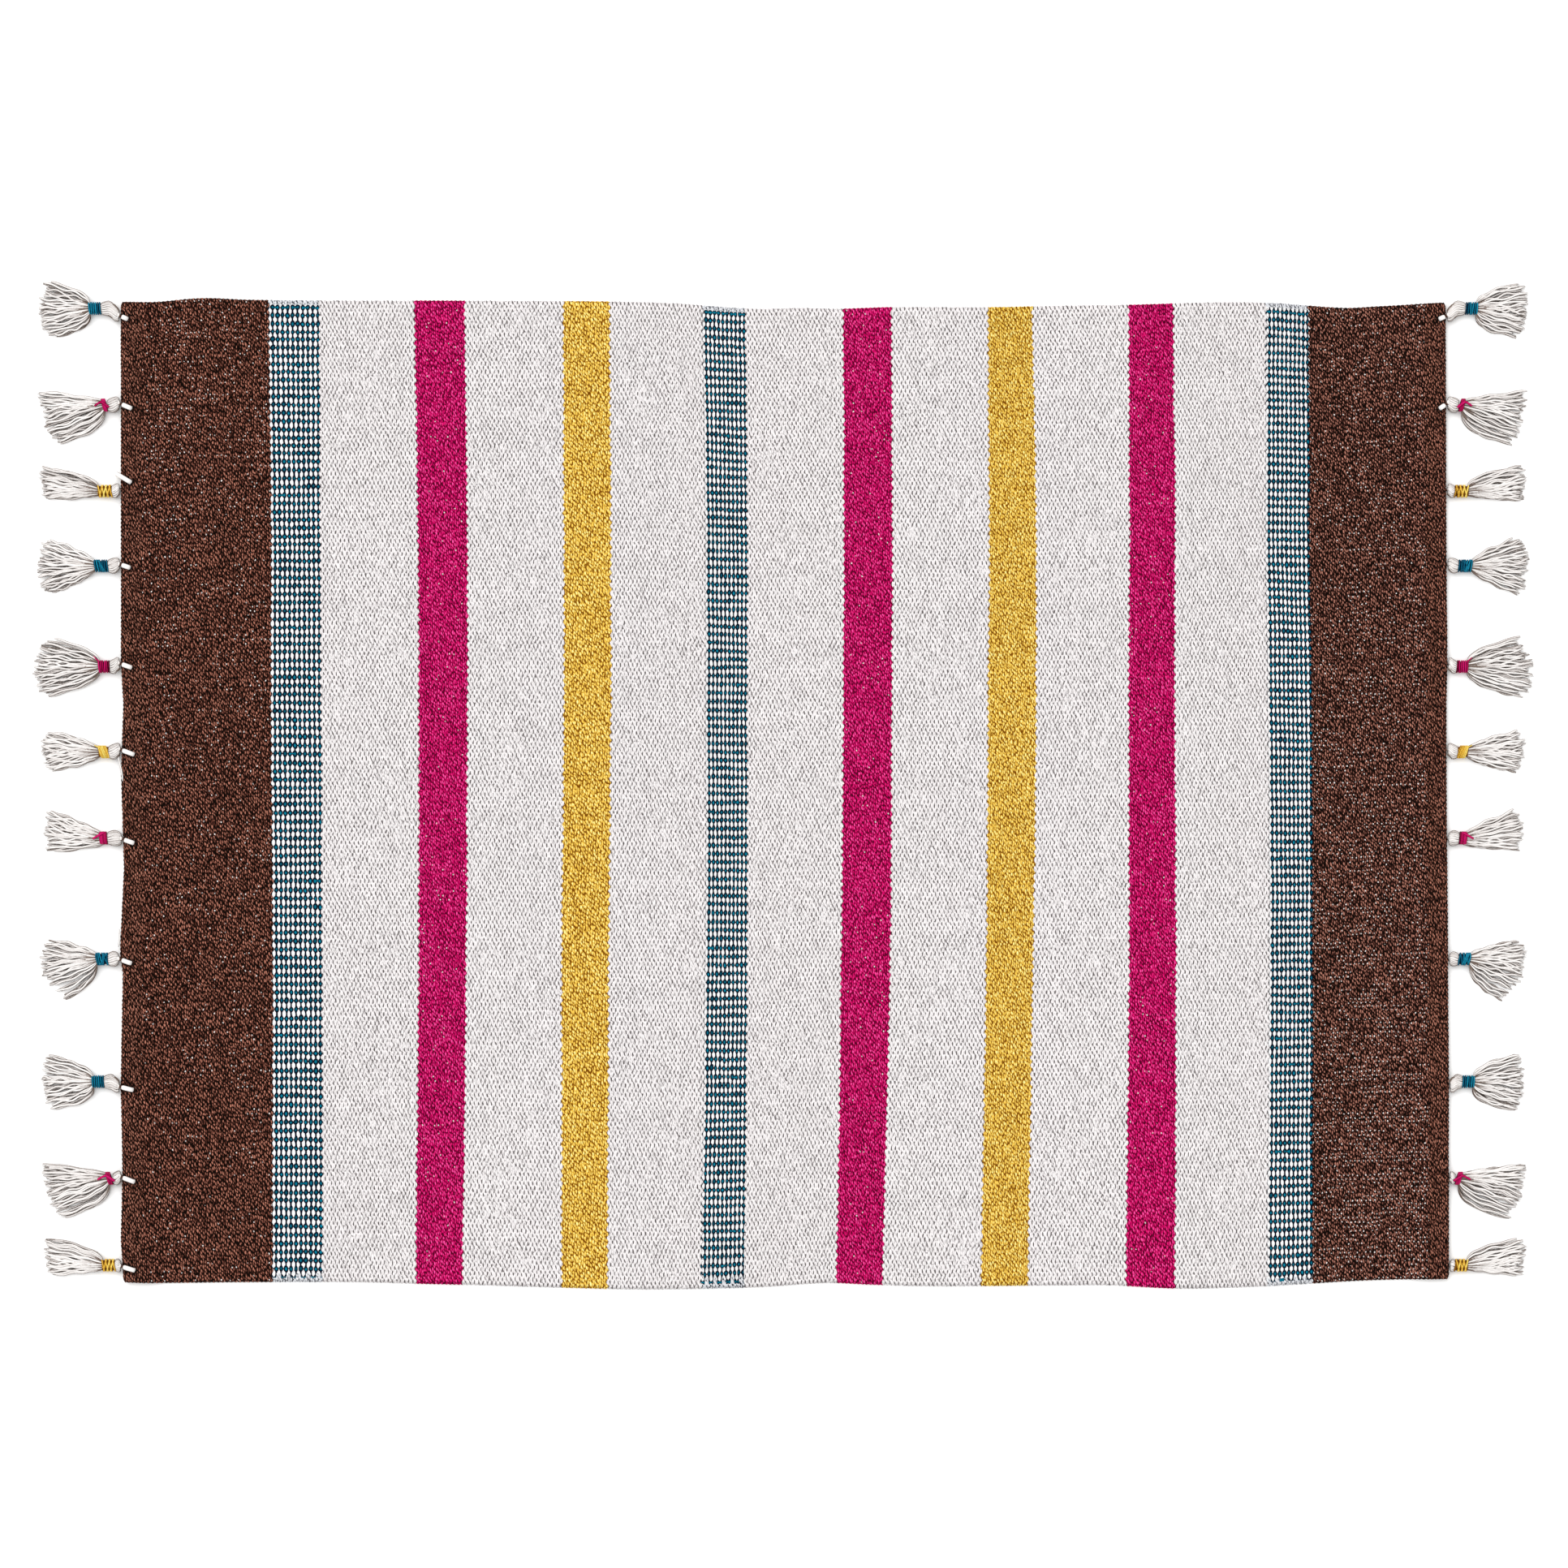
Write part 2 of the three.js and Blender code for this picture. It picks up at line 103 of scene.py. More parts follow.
class Border(NamedTuple):
    """X of the border at the right side of a stripe, at five places across the rug."""

    after: str
    far: float
    upper: float
    middle: float
    lower: float
    near: float


FAR_EDGE = tuple(EdgePoint(*row) for row in (
    (-405, 297.5), (-388, 297.5), (-358, 300), (-330, 299), (-279, 298.5), (-213, 298.5),
    (-113, 298), (-69, 297), (-43, 295), (-16, 293.5), (12, 294), (35, 293.5), (67, 294.5),
    (132, 294.5), (177, 295.5), (217, 296), (267, 297.5), (302, 297), (345, 294), (367, 295),
    (405, 297),
))
NEAR_EDGE = tuple(EdgePoint(*row) for row in (
    (-405, -306), (-388, -306.5), (-333, -306), (-263, -306), (-225, -307), (-183, -308),
    (-133, -309.5), (-88, -310.5), (-48, -310), (-13, -309), (27, -306.5), (52, -307.5),
    (90, -308.5), (167, -308), (202, -308), (245, -310), (297, -308.5), (347, -305.5),
    (372, -304.5), (405, -304),
))
END_WAVER = tuple(Waver(*row) for row in (
    (-304, -2, 1.5), (-280, -0.6, 1.5), (-236, -1.5, 1.5), (-186, -0.5, 1.5), (-116, -1.8, 1),
    (-104, 0, 1), (-50, -2.5, 0.5), (9, -0.6, 0), (50, -2, 0), (76, -0.5, 0.5), (164, -0.6, 0),
    (297, -0.5, -0.5),
))
BORDER_PLACES = (-301.0, -96.0, 54.0, 154.0, 291.5)   # Y of near, lower, middle, upper and far
BORDERS = (
    Border("left_brown", -316.8, -315.3, -315.3, -314.3, -314.5),
    Border("teal_1", -285.8, -285.3, -284.8, -284.3, -283.9),
    Border("cream_1", -227.1, -225, -224.4, -224.4, -226.2),
    Border("magenta_1", -196.3, -194.6, -194.6, -195.2, -197.5),
    Border("cream_2", -135.3, -135.1, -134.9, -136.3, -136.3),
    Border("mustard_1", -106.9, -106, -106, -107.3, -108.3),
    Border("cream_3", -49.4, -47.9, -47.6, -47.8, -50.4),
    Border("teal_2", -23.5, -22.3, -22.5, -22.4, -23.9),
    Border("cream_4", 37.1, 37.4, 37, 36, 32.8),
    Border("magenta_2", 66.4, 67.3, 66.9, 66, 61.2),
    Border("cream_5", 126.1, 126.9, 126.3, 125.2, 122),
    Border("mustard_2", 153.5, 155.8, 155.8, 154, 150.8),
    Border("cream_6", 212.8, 213.3, 212.8, 213.1, 211.1),
    Border("magenta_3", 240.2, 241.3, 240.9, 241.9, 241.2),
    Border("cream_7", 297.5, 297.3, 298.7, 299.5, 298.1),
    Border("teal_3", 323.5, 324.1, 325.2, 326, 325.9),
)


@dataclass(frozen=True)
class Dye:
    """The colours of one stripe's yarn, and how its weave shows.

    Args:
        dark, mid, light: in a crease, where it is in painted shade, on the body of the yarn, and on its
            crown, with a painted highlight.
        crease: how far painted shade darkens the creases between floats, from 0 to 1.
        pit: how far painted shade darkens the small holes between floats, from 0 to 1.
        specks: share of the holes in which the white warp shows, at the near and the far edge.
    """

    dark: Rgb
    mid: Rgb
    light: Rgb
    crease: float
    pit: float
    specks: tuple[float, float] = (0.0, 0.0)


class Stripe(Enum):
    """The dyes of the rug's stripes. The two ends are one brown yarn, woven in three ways."""

    HEADING = Dye((13, 4, 1), (90, 50, 39), (184, 124, 104), 0.8, 0.6)
    LEFT_BROWN = Dye((13, 4, 1), (87, 46, 36), (184, 122, 102), 0.8, 0.8, (0.05, 0.12))
    RIGHT_BROWN = Dye((13, 4, 1), (83, 45, 37), (184, 126, 108), 0.85, 0.8, (0.35, 0.08))
    TEAL = Dye((2, 8, 28), (226, 228, 234), (255, 255, 255), 0.3, 0.3)
    CREAM = Dye((98, 91, 91), (251, 246, 247), (255, 255, 255), 0.17, 0.92)
    MAGENTA = Dye((86, 0, 34), (216, 3, 102), (255, 92, 174), 0.52, 0.55, (0.03, 0.03))
    MUSTARD = Dye((130, 76, 2), (253, 206, 82), (255, 254, 172), 0.47, 0.55)


class Band(NamedTuple):
    """A run of picks in one dye."""

    name: str
    stripe: Stripe
    picks: int


class TealEnds(NamedTuple):
    """How far in from the near and far edge a teal stripe's dots begin, in warp threads."""

    name: str
    near: float
    far: float


HEADING_PICKS = 24                 # in a hem: its under layer, its fold and its top
BANDS = (
    Band("left_heading", Stripe.HEADING, HEADING_PICKS),
    Band("left_brown", Stripe.LEFT_BROWN, 59),
    Band("teal_1", Stripe.TEAL, 20),
    Band("cream_1", Stripe.CREAM, 46),
    Band("magenta_1", Stripe.MAGENTA, 23),
    Band("cream_2", Stripe.CREAM, 46),
    Band("mustard_1", Stripe.MUSTARD, 19),
    Band("cream_3", Stripe.CREAM, 46),
    Band("teal_2", Stripe.TEAL, 20),
    Band("cream_4", Stripe.CREAM, 46),
    Band("magenta_2", Stripe.MAGENTA, 23),
    Band("cream_5", Stripe.CREAM, 46),
    Band("mustard_2", Stripe.MUSTARD, 22),
    Band("cream_6", Stripe.CREAM, 45),
    Band("magenta_3", Stripe.MAGENTA, 22),
    Band("cream_7", Stripe.CREAM, 46),
    Band("teal_3", Stripe.TEAL, 20),
    Band("right_brown", Stripe.RIGHT_BROWN, 53),
    Band("right_heading", Stripe.HEADING, HEADING_PICKS),
)
TEAL_ENDS = (
    TealEnds("teal_1", 0.46, 0.38), TealEnds("teal_2", 0.89, 0.15), TealEnds("teal_3", 0.27, 0.74),
)
PANELS = {                         # first and last band of each piece that the cloth is made in
    "cloth_left_end": ("left_heading", "cream_1"),
    "cloth_left": ("magenta_1", "cream_3"),
    "cloth_middle": ("teal_2", "cream_5"),
    "cloth_right": ("mustard_2", "cream_7"),
    "cloth_right_end": ("teal_3", "right_heading"),
}


class SkirtForm(NamedTuple):
    """Where a skirt's strands end, out from the binding and aside of its axis, at five places
    across it, and how early its near and far sides flare, from 0, late, to 1, at once."""

    near: tuple[float, float]
    low: tuple[float, float]
    mid: tuple[float, float]
    high: tuple[float, float]
    far: tuple[float, float]
    flare_near: float
    flare_far: float


class Skirt(Enum):
    """The forms in which the tassels' skirts lie."""

    BULGING = SkirtForm((25, -17.5), (30, -10), (31, -2), (31, 7), (28.5, 17), 1, 0.8)
    DROOPING = SkirtForm((27, -24), (31.5, -16), (34, -8), (35.5, 2), (35.5, 8.5), 0.95, 0.5)
    SLIM_RISING = SkirtForm((34, -5.5), (34.5, -1), (35, 4), (36, 9.5), (34.5, 16), 0.6, 0.8)
    EVEN = SkirtForm((30, -17.5), (34.5, -9.5), (35.5, 0), (35, 9), (29, 17), 0.5, 0.5)
    LARGE = SkirtForm((34.5, -19), (40, -11), (40.5, -1), (39, 7.5), (32.5, 17), 0.8, 0.75)
    SLIM = SkirtForm((30.5, -12), (34.5, -6), (35.5, 0), (35.5, 7), (31, 13), 0.6, 0.5)
    RISING = SkirtForm((30, -7.5), (31, -1.5), (32, 5), (32, 11.5), (28.5, 16.5), 1, 0.4)
    SPLAYED = SkirtForm((21, -26), (32, -13), (34, -5), (35, 5), (29, 11.5), 0.8, 0.6)


@dataclass(frozen=True)
class Thread:
    """The finish of a yarn or a binding thread.

    Args:
        slot: the record's material slot.
        dark, mid, light: its colours deep between strands, in painted shade, on their sides, and on top,
            with a painted highlight.
        roughness: of its surface.
        ply: length of one turn of its twist.
        twist: how much the twist shows.
    """

    slot: str
    dark: Rgb
    mid: Rgb
    light: Rgb
    roughness: float
    ply: float
    twist: float


class Yarn(Enum):
    """The yarn of the tassels and the threads that bind them."""

    COTTON = Thread("tassel_yarn", (118, 103, 94), (221, 215, 212), (246, 243, 241), 0.9, 3.4, 0.03)
    TEAL = Thread("teal_thread", (0, 24, 50), (5, 97, 127), (22, 144, 176), 0.6, 2.0, 0.2)
    MAGENTA = Thread("magenta_thread", (60, 0, 18), (170, 4, 76), (210, 22, 108), 0.6, 2.0, 0.15)
    MUSTARD = Thread("mustard_thread", (126, 76, 6), (243, 190, 66), (255, 234, 122), 0.6, 2.0, 0.15)


class Turn(NamedTuple):
    """One turn of binding thread: its place along the binding, from 0, inner, to 1, outer, how
    far it slants across the top of the neck, and how far it lies over the turns below it."""

    at: float
    slant: float
    over: float


class Winding(NamedTuple):
    """How a binding is wound: its number of turns, the place of the first and the step to the
    next, how far they slant and how unevenly, how far every second one lies over the others where
    those slant to and fro, and how many more cross over them all."""

    turns: int
    first: float
    step: float
    slant: float
    slip: float = 0.0
    over: float = 0.0
    crossing: int = 0


class Wrap(Enum):
    """The ways in which the bindings are wound."""

    NEAT = Winding(6, 0.05, 0.18, 0.05, slip=0.015)               # close turns, side by side
    WOUND = Winding(6, 0.05, 0.18, 0.05, slip=0.04, crossing=3)   # close turns that a few cross
    SCRUFFY = Winding(6, 0.05, 0.18, 0.05, slip=0.1, crossing=3)  # uneven turns that cross
    CROSSED = Winding(3, 0.22, 0.115, 0.13)                       # a band, crossed by a loose end
    POINTED = Winding(5, 0.06, 0.12, 0.05)                        # a band that a slanting end meets
    ZIGZAG = Winding(7, 0.1, 0.13, 0.12, over=0.12)               # loose turns, to and fro
    SLANTED = Winding(6, 0.14, 0.144, 0.2)                        # thick slanting turns


class TailPoint(NamedTuple):
    """A point of a binding's loose end: its share of the way along the binding, how far it is
    aside of the neck's middle and how far above the binding's top."""

    at: float
    aside: float
    rise: float


TAILS = {wrap: tuple(TailPoint(*row) for row in rows) for wrap, rows in (
    (Wrap.CROSSED, (
        (0, -1.4, -0.2), (0.3, 0.5, 0.75), (0.57, 1.8, 0.5), (0.8, 0.9, 0.5), (1.08, -0.6, 0),
    )),
    (Wrap.POINTED, ((0.28, 3.3, -1.6), (0.5, 2.4, 0), (0.75, 1.0, 0.5), (1.02, -0.4, 0))),
    (Wrap.SLANTED, ((0.8, 2.6, -1), (1.03, 3.2, -1.2), (1.25, 4.2, -1.6))),
)}
MAGENTA_TAIL = tuple(TailPoint(*row) for row in (
    (0.85, 3.2, -1.4), (1.1, 4.6, -1.8), (1.3, 6.4, -2.4),
))


class SkirtSection(NamedTuple):
    """Half a skirt's height at a share of the way along it."""

    at: float
    half_height: float


class HeadSection(NamedTuple):
    """Half the width and height of a short head and a full one, at a share of the way from the
    head's tip to its binding."""

    at: float
    short_width: float
    short_height: float
    full_width: float
    full_height: float


SKIRT_SECTIONS = tuple(SkirtSection(*row) for row in ((0, 3.0), (0.2, 3.0), (0.55, 2.2), (1, 1.5)))
HEAD_SECTIONS = tuple(HeadSection(*row) for row in (
    (0, 3.0, 2.6, 3.4, 2.6), (0.14, 3.5, 3.0, 4.5, 3.4), (0.45, 3.7, 3.2, 5.0, 3.9),
    (0.85, 3.1, 3.0, 4.1, 3.6), (1, 3.0, 3.0, 3.0, 3.0),
))


class Stitch(NamedTuple):
    """A hanging cord on a hem: its place on the fold, the set back at which it dives through the
    hem and how far it drifts across on the way."""

    y: float
    depth: float
    drift: float


class TasselRow(NamedTuple):
    """A tassel, alike at both ends: its binding's place across the rug and its inner and outer
    end from the rug's middle."""

    y: float
    inner: float
    outer: float
    skirt: Skirt
    yarn: Yarn
    wrap: Wrap
    stitch: Stitch


TASSELS = (
    TasselRow(293.5, 419.5, 428, Skirt.BULGING, Yarn.TEAL, Wrap.NEAT, Stitch(289, 4.6, -2)),
    TasselRow(234, 415, 423, Skirt.DROOPING, Yarn.MAGENTA, Wrap.CROSSED, Stitch(235, 7, -3)),
    TasselRow(181, 412.5, 422.5, Skirt.SLIM_RISING, Yarn.MUSTARD, Wrap.ZIGZAG, Stitch(182, 6.7, -2)),
    TasselRow(135, 415, 424.5, Skirt.EVEN, Yarn.TEAL, Wrap.WOUND, Stitch(136, 6, -2)),
    TasselRow(73, 414, 422, Skirt.LARGE, Yarn.MAGENTA, Wrap.NEAT, Stitch(75, 7, -2.5)),
    TasselRow(20.5, 414.5, 422, Skirt.SLIM, Yarn.MUSTARD, Wrap.SLANTED, Stitch(22, 8, -3)),
    TasselRow(-32.5, 415.5, 424.5, Skirt.RISING, Yarn.MAGENTA, Wrap.POINTED, Stitch(-33, 7, -2.5)),
    TasselRow(-107, 415, 423.5, Skirt.SPLAYED, Yarn.TEAL, Wrap.SCRUFFY, Stitch(-107, 7, -2.5)),
    TasselRow(-182.5, 417.5, 426, Skirt.BULGING, Yarn.TEAL, Wrap.NEAT, Stitch(-185.5, 8, -2)),
    TasselRow(-242, 411.5, 421, Skirt.DROOPING, Yarn.MAGENTA, Wrap.CROSSED, Stitch(-241, 8, -3)),
    TasselRow(-295.5, 410.5, 420, Skirt.SLIM_RISING, Yarn.MUSTARD, Wrap.ZIGZAG, Stitch(-296, 8, -2.5)),
)
ASKEW_CORD = (End.LEFT, 2)         # the one that lies askew on its hem
ASKEW_PLACE = 190.5                # its place on the fold
ASKEW_DRIFT = -4.0
RIGHT_STITCHES = 2                 # cords that show on the right hem, from the far corner
RIGHT_STITCH_DEPTH = 4.4           # the furthest that their stitches are set back


class LooseYarn(NamedTuple):
    """A loose bit of a tassel's yarn that lies along the fold: its points, X out from the middle."""

    end: End
    index: int
    points: tuple[tuple[float, float, float], ...]


LOOSE_YARN = (
    LooseYarn(End.LEFT, 5, ((409.6, 18.5, 4.6), (408.2, 13, 5.6), (407, 8, 6.1), (406.4, 2.5, 6.1))),
    LooseYarn(End.LEFT, 7, ((409.2, -99.5, 4.6), (408.4, -94, 5.5), (408.8, -88.5, 4.9))),
)


def lerp(a: Field, b: Field, share: Field) -> Field:
    """A share of the way from a to b."""
    return a + (b - a) * share


def smoothstep(low: float, high: float, at: Field) -> Field:
    """An even S from 0 at low to 1 at high."""
    share = np.clip((np.asarray(at, float) - low) / (high - low), 0, 1)
    return share * share * (3 - 2 * share)


def through(places: Field, values: Field, at: Field) -> Field:
    """A smooth curve through a table's rows.

    Args:
        places: where the rows are, rising.
        values: what they say there.
        at: where to read the curve.

    Returns:
        The curve's values, held level past the first and last row.
    """
    places, values = np.asarray(places, float), np.asarray(values, float)
    at = np.clip(at, places[0], places[-1])
    after = np.clip(np.searchsorted(places, at, side="left"), 1, len(places) - 1)
    wide = np.diff(places)
    slope = np.empty_like(values)
    slope[1:-1] = (values[2:] - values[:-2]) / (places[2:] - places[:-2])
    slope[0] = (values[1] - values[0]) / wide[0]
    slope[-1] = (values[-1] - values[-2]) / wide[-1]
    share = (at - places[after - 1]) / wide[after - 1]
    rise = lerp(values[after - 1], values[after], share * share * (3 - 2 * share))
    lean = slope[after - 1] * share * (1 - share) ** 2 - slope[after] * share**2 * (1 - share)
    return rise + lean * wide[after - 1]


class Hills(NamedTuple):
    """A layer of seeded unevenness: its height, and the size of a hill along the rug and across
    it, in half picks and half warp threads."""

    height: float
    along: int
    across: int


SWAY_ALONG = (Hills(0.22, 26, 18), Hills(0.12, 7, 5))       # of the weft, along the rug
SWAY_ACROSS = (Hills(0.45, 30, 22), Hills(0.25, 9, 5), Hills(0.45, 90, 6))      # of the warp
SWELL = (Hills(0.10, 40, 30), Hills(0.05, 8, 6))            # of the face, up and down


def smooth_noise(rng: np.random.Generator, shape: tuple[int, int], cell: tuple[int, int]) -> Field:
    """Soft hills over a grid.

    Args:
        rng: the seeded source.
        shape: of the grid.
        cell: size of a hill along each side of the grid.

    Returns:
        Numbers from about -1 to 1.
    """
    coarse = rng.uniform(-1, 1, [s // c + 3 for s, c in zip(shape, cell)])
    for axis in (0, 1):
        at = np.arange(shape[axis]) / cell[axis]
        low = at.astype(int)
        share = smoothstep(0, 1, at - low)
        share = share[:, None] if axis == 0 else share[None, :]
        coarse = lerp(coarse.take(low, axis), coarse.take(low + 1, axis), share)
    return coarse


class Shell:
    """The vertices and faces of one piece, gathered part by part."""

    def __init__(self) -> None:
        """Starts with nothing."""
        self.points: list[Field] = []
        self.tags: dict[str, list[Field]] = {}
        self.faces: list[Field] = []
        self.flat: list[Field] = []
        self.maps: dict[str, list[Field]] = {}
        self.count = 0

    def add_points(self, points: Field, **tags: Field) -> Field:
        """Adds vertices.

        Args:
            points: a grid or list of them, in millimetres.
            tags: named numbers for each, kept as attributes.

        Returns:
            Their numbers in the piece, in the points' own layout.
        """
        points = np.asarray(points, float)
        numbers = self.count + np.arange(points[..., 0].size).reshape(points.shape[:-1])
        self.points.append(points.reshape(-1, 3))
        self.count += numbers.size
        for name, values in tags.items():
            spread = np.broadcast_to(np.asarray(values, float), numbers.shape)
            self.tags.setdefault(name, []).append(spread.ravel())
        return numbers

    def add_faces(self, faces: Field, flat: bool = False, **maps: Field) -> None:
        """Adds faces of one number of corners.

        Args:
            faces: rows of vertex numbers.
            flat: whether they keep their own normals.
            maps: named places in a picture, for each corner of each face.
        """
        faces = np.asarray(faces, np.int64)
        self.faces.append(faces)
        self.flat.append(np.full(len(faces), flat))
        for name, places in maps.items():
            self.maps.setdefault(name, []).append(np.asarray(places, float).reshape(-1, 2))

    def build(self, name: str, material: bpy.types.Material) -> bpy.types.Object:
        """Makes the piece.

        Args:
            name: of the piece.
            material: that it wears all over.

        Returns:
            The new object, in the scene.
        """
        mesh = bpy.data.meshes.new(name)
        totals = np.concatenate([np.full(len(f), f.shape[1]) for f in self.faces])
        corners = np.concatenate([f.ravel() for f in self.faces])
        mesh.vertices.add(self.count)
        mesh.vertices.foreach_set("co", (np.concatenate(self.points) * METRES).ravel())
        mesh.loops.add(len(corners))
        mesh.loops.foreach_set("vertex_index", corners)
        mesh.polygons.add(len(totals))
        mesh.polygons.foreach_set("loop_start", np.cumsum(totals) - totals)
        mesh.polygons.foreach_set("loop_total", totals)
        for map_name, places in self.maps.items():
            layer = mesh.uv_layers.new(name=map_name)
            layer.uv.foreach_set("vector", np.concatenate(places).ravel())
        for tag, values in self.tags.items():
            made = mesh.attributes.new(tag, "FLOAT", "POINT")
            made.data.foreach_set("value", np.concatenate(values))
        mesh.update(calc_edges=True)
        mesh.polygons.foreach_set("use_smooth", ~np.concatenate(self.flat))
        mesh.materials.append(material)
        piece = bpy.data.objects.new(name, mesh)
        bpy.context.scene.collection.objects.link(piece)
        return piece


def ride(piece: bpy.types.Object, slot: str, *nodes: str) -> bpy.types.Object:
    """Puts a piece on the rug's body, in place of CAD nodes.

    Args:
        piece: the piece.
        slot: the record's material slot; not used.
        nodes: the CAD nodes that it replaces.

    Returns:
        The same piece.
    """
    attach(piece, BODY)
    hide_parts(*nodes)
    return piece


def albedo(rgb: Rgb) -> tuple[float, float, float, float]:
    """The surface colour that shows as another one in the studio's light.

    Args:
        rgb: the colour that shows, from 0 to 255.

    Returns:
        The surface's colour, linear, and an alpha of 1.
    """
    share = np.array(rgb, float) / 255
    linear = np.where(share <= 0.04045, share / 12.92, ((share + 0.055) / 1.055) ** 2.4)
    return (*(float(c) for c in linear / LIGHT_LEVEL), 1.0)


def sum_of(operation: str, swapped: bool = False) -> Callable[["Value", "Feed"], "Value"]:
    """Makes an operator of Value that adds one Math node to the material.

    Args:
        operation: the node's.
        swapped: whether the second term comes first, as it does for the right-hand operators.

    Returns:
        The operator.
    """
    def operator(value: "Value", other: "Feed") -> "Value":
        """The two terms together."""
        return value.graph.math(operation, *((other, value) if swapped else (value, other)))
    return operator


class Value:
    """What a node of a material gives out. Sums with it add their own nodes to the material."""

    __add__ = sum_of("ADD")
    __radd__ = sum_of("ADD", swapped=True)
    __sub__ = sum_of("SUBTRACT")
    __rsub__ = sum_of("SUBTRACT", swapped=True)
    __mul__ = sum_of("MULTIPLY")
    __truediv__ = sum_of("DIVIDE")
    __gt__ = sum_of("GREATER_THAN")
    __lt__ = sum_of("LESS_THAN")

    def __init__(self, graph: "Graph", socket: bpy.types.NodeSocket) -> None:
        """Wraps a node's output."""
        self.graph = graph
        self.socket = socket

    def __abs__(self) -> "Value":
        """It without its sign."""
        return self.graph.math("ABSOLUTE", self)

    def __round__(self) -> "Value":
        """The nearest whole number."""
        return self.graph.math("ROUND", self)

    def __floor__(self) -> "Value":
        """The whole number below it."""
        return self.graph.math("FLOOR", self)


Feed = Value | float | tuple[float, ...]


class Graph:
    """Shorthand for wiring the nodes of one material."""

    def __init__(self, name: str) -> None:
        """Makes a material with one plain shader.

        Args:
            name: the material's.
        """
        self.material = bpy.data.materials.new(name)
        self.material.use_nodes = True
        self.tree = self.material.node_tree
        self.shader = self.tree.nodes["Principled BSDF"]
        self.shader.inputs["Specular IOR Level"].default_value = YARN_SPECULAR

    def feed(self, socket: bpy.types.NodeSocket, value: Feed) -> None:
        """Feeds a node's input.

        Args:
            socket: the input.
            value: another node's output, to link to it, or a number or colour to set there.
        """
        if isinstance(value, Value):
            self.tree.links.new(value.socket, socket)
        else:
            socket.default_value = value

    def node(self, kind: str, *inputs: Feed, **settings: object) -> bpy.types.Node:
        """Makes a node.

        Args:
            kind: the end of its type's name.
            inputs: what feeds its first sockets, in order.
            settings: its other properties.

        Returns:
            The node.
        """
        made = self.tree.nodes.new("ShaderNode" + kind)
        for name, value in settings.items():
            setattr(made, name, value)
        for socket, value in zip(made.inputs, inputs):
            self.feed(socket, value)
        return made

    def out(self, kind: str, *inputs: Feed, at: int | str = 0, **settings: object) -> Value:
        """Makes a node, as node() does, and gives one output, by its place or its name."""
        return Value(self, self.node(kind, *inputs, **settings).outputs[at])

    def math(self, operation: str, *inputs: Feed, clamp: bool = False) -> Value:
        """One sum."""
        return self.out("Math", *inputs, operation=operation, use_clamp=clamp)

    def far(self, x: Value, y: Value) -> Value:
        """How far a place is from the middle."""
        return self.math("SQRT", x * x + y * y)

    def step(self, value: Feed, low: float, high: float, start: float = 0, end: float = 1) -> Value:
        """An even S from start at low to end at high."""
        return self.out("MapRange", value, low, high, start, end, interpolation_type="SMOOTHSTEP")

    def join(self, x: Feed, y: Feed, z: Feed = 0.0) -> Value:
        """Three numbers as one vector."""
        return self.out("CombineXYZ", x, y, z)

    def split(self, vector: Value) -> list[Value]:
        """A colour's or vector's three numbers."""
        return [Value(self, part) for part in self.node("SeparateXYZ", vector).outputs]

    def dice(self, x: Feed, y: Feed, salt: float) -> list[Value]:
        """Three random numbers for a place, other ones with another salt."""
        return self.split(self.out("TexWhiteNoise", self.join(x, y, salt), at=1, noise_dimensions="3D"))

    def noise(self, x: Feed, y: Feed, scale: float, detail: float = 1.0) -> Value:
        """Soft noise over a plane.

        Args:
            x, y: place on the plane.
            scale: how many hills there are to a unit.
            detail: how many finer noises are laid over it.

        Returns:
            The noise, from 0 to 1.
        """
        made = self.node("TexNoise", self.join(x, y), noise_dimensions="2D")
        made.inputs["Scale"].default_value = scale
        made.inputs["Detail"].default_value = detail
        return Value(self, made.outputs[0])

    def mix(self, share: Feed, a: Feed, b: Feed) -> Value:
        """Mixes two colours.

        Args:
            share: of the way from the first to the second.
            a, b: the colours.

        Returns:
            The mixed colour.
        """
        made = self.node("Mix", data_type="RGBA")
        sockets = {socket.identifier: socket for socket in (*made.inputs, *made.outputs)}
        for name, value in (("Factor_Float", share), ("A_Color", a), ("B_Color", b)):
            self.feed(sockets[name], value)
        return Value(self, sockets["Result_Color"])

    def dress(self, colour: Value, roughness: Value, height: Value, depth: float) -> None:
        """Finishes the shader.

        Args:
            colour: of the surface.
            roughness: of the surface.
            height: of its bump, from 0 to about 1.
            depth: of the bump, in metres.
        """
        bump = self.node("Bump")
        bump.inputs["Strength"].default_value = 1.0
        bump.inputs["Distance"].default_value = depth
        self.feed(bump.inputs["Height"], height)
        self.feed(self.shader.inputs["Base Color"], colour)
        self.feed(self.shader.inputs["Roughness"], roughness)
        self.feed(self.shader.inputs["Normal"], Value(self, bump.outputs[0]))


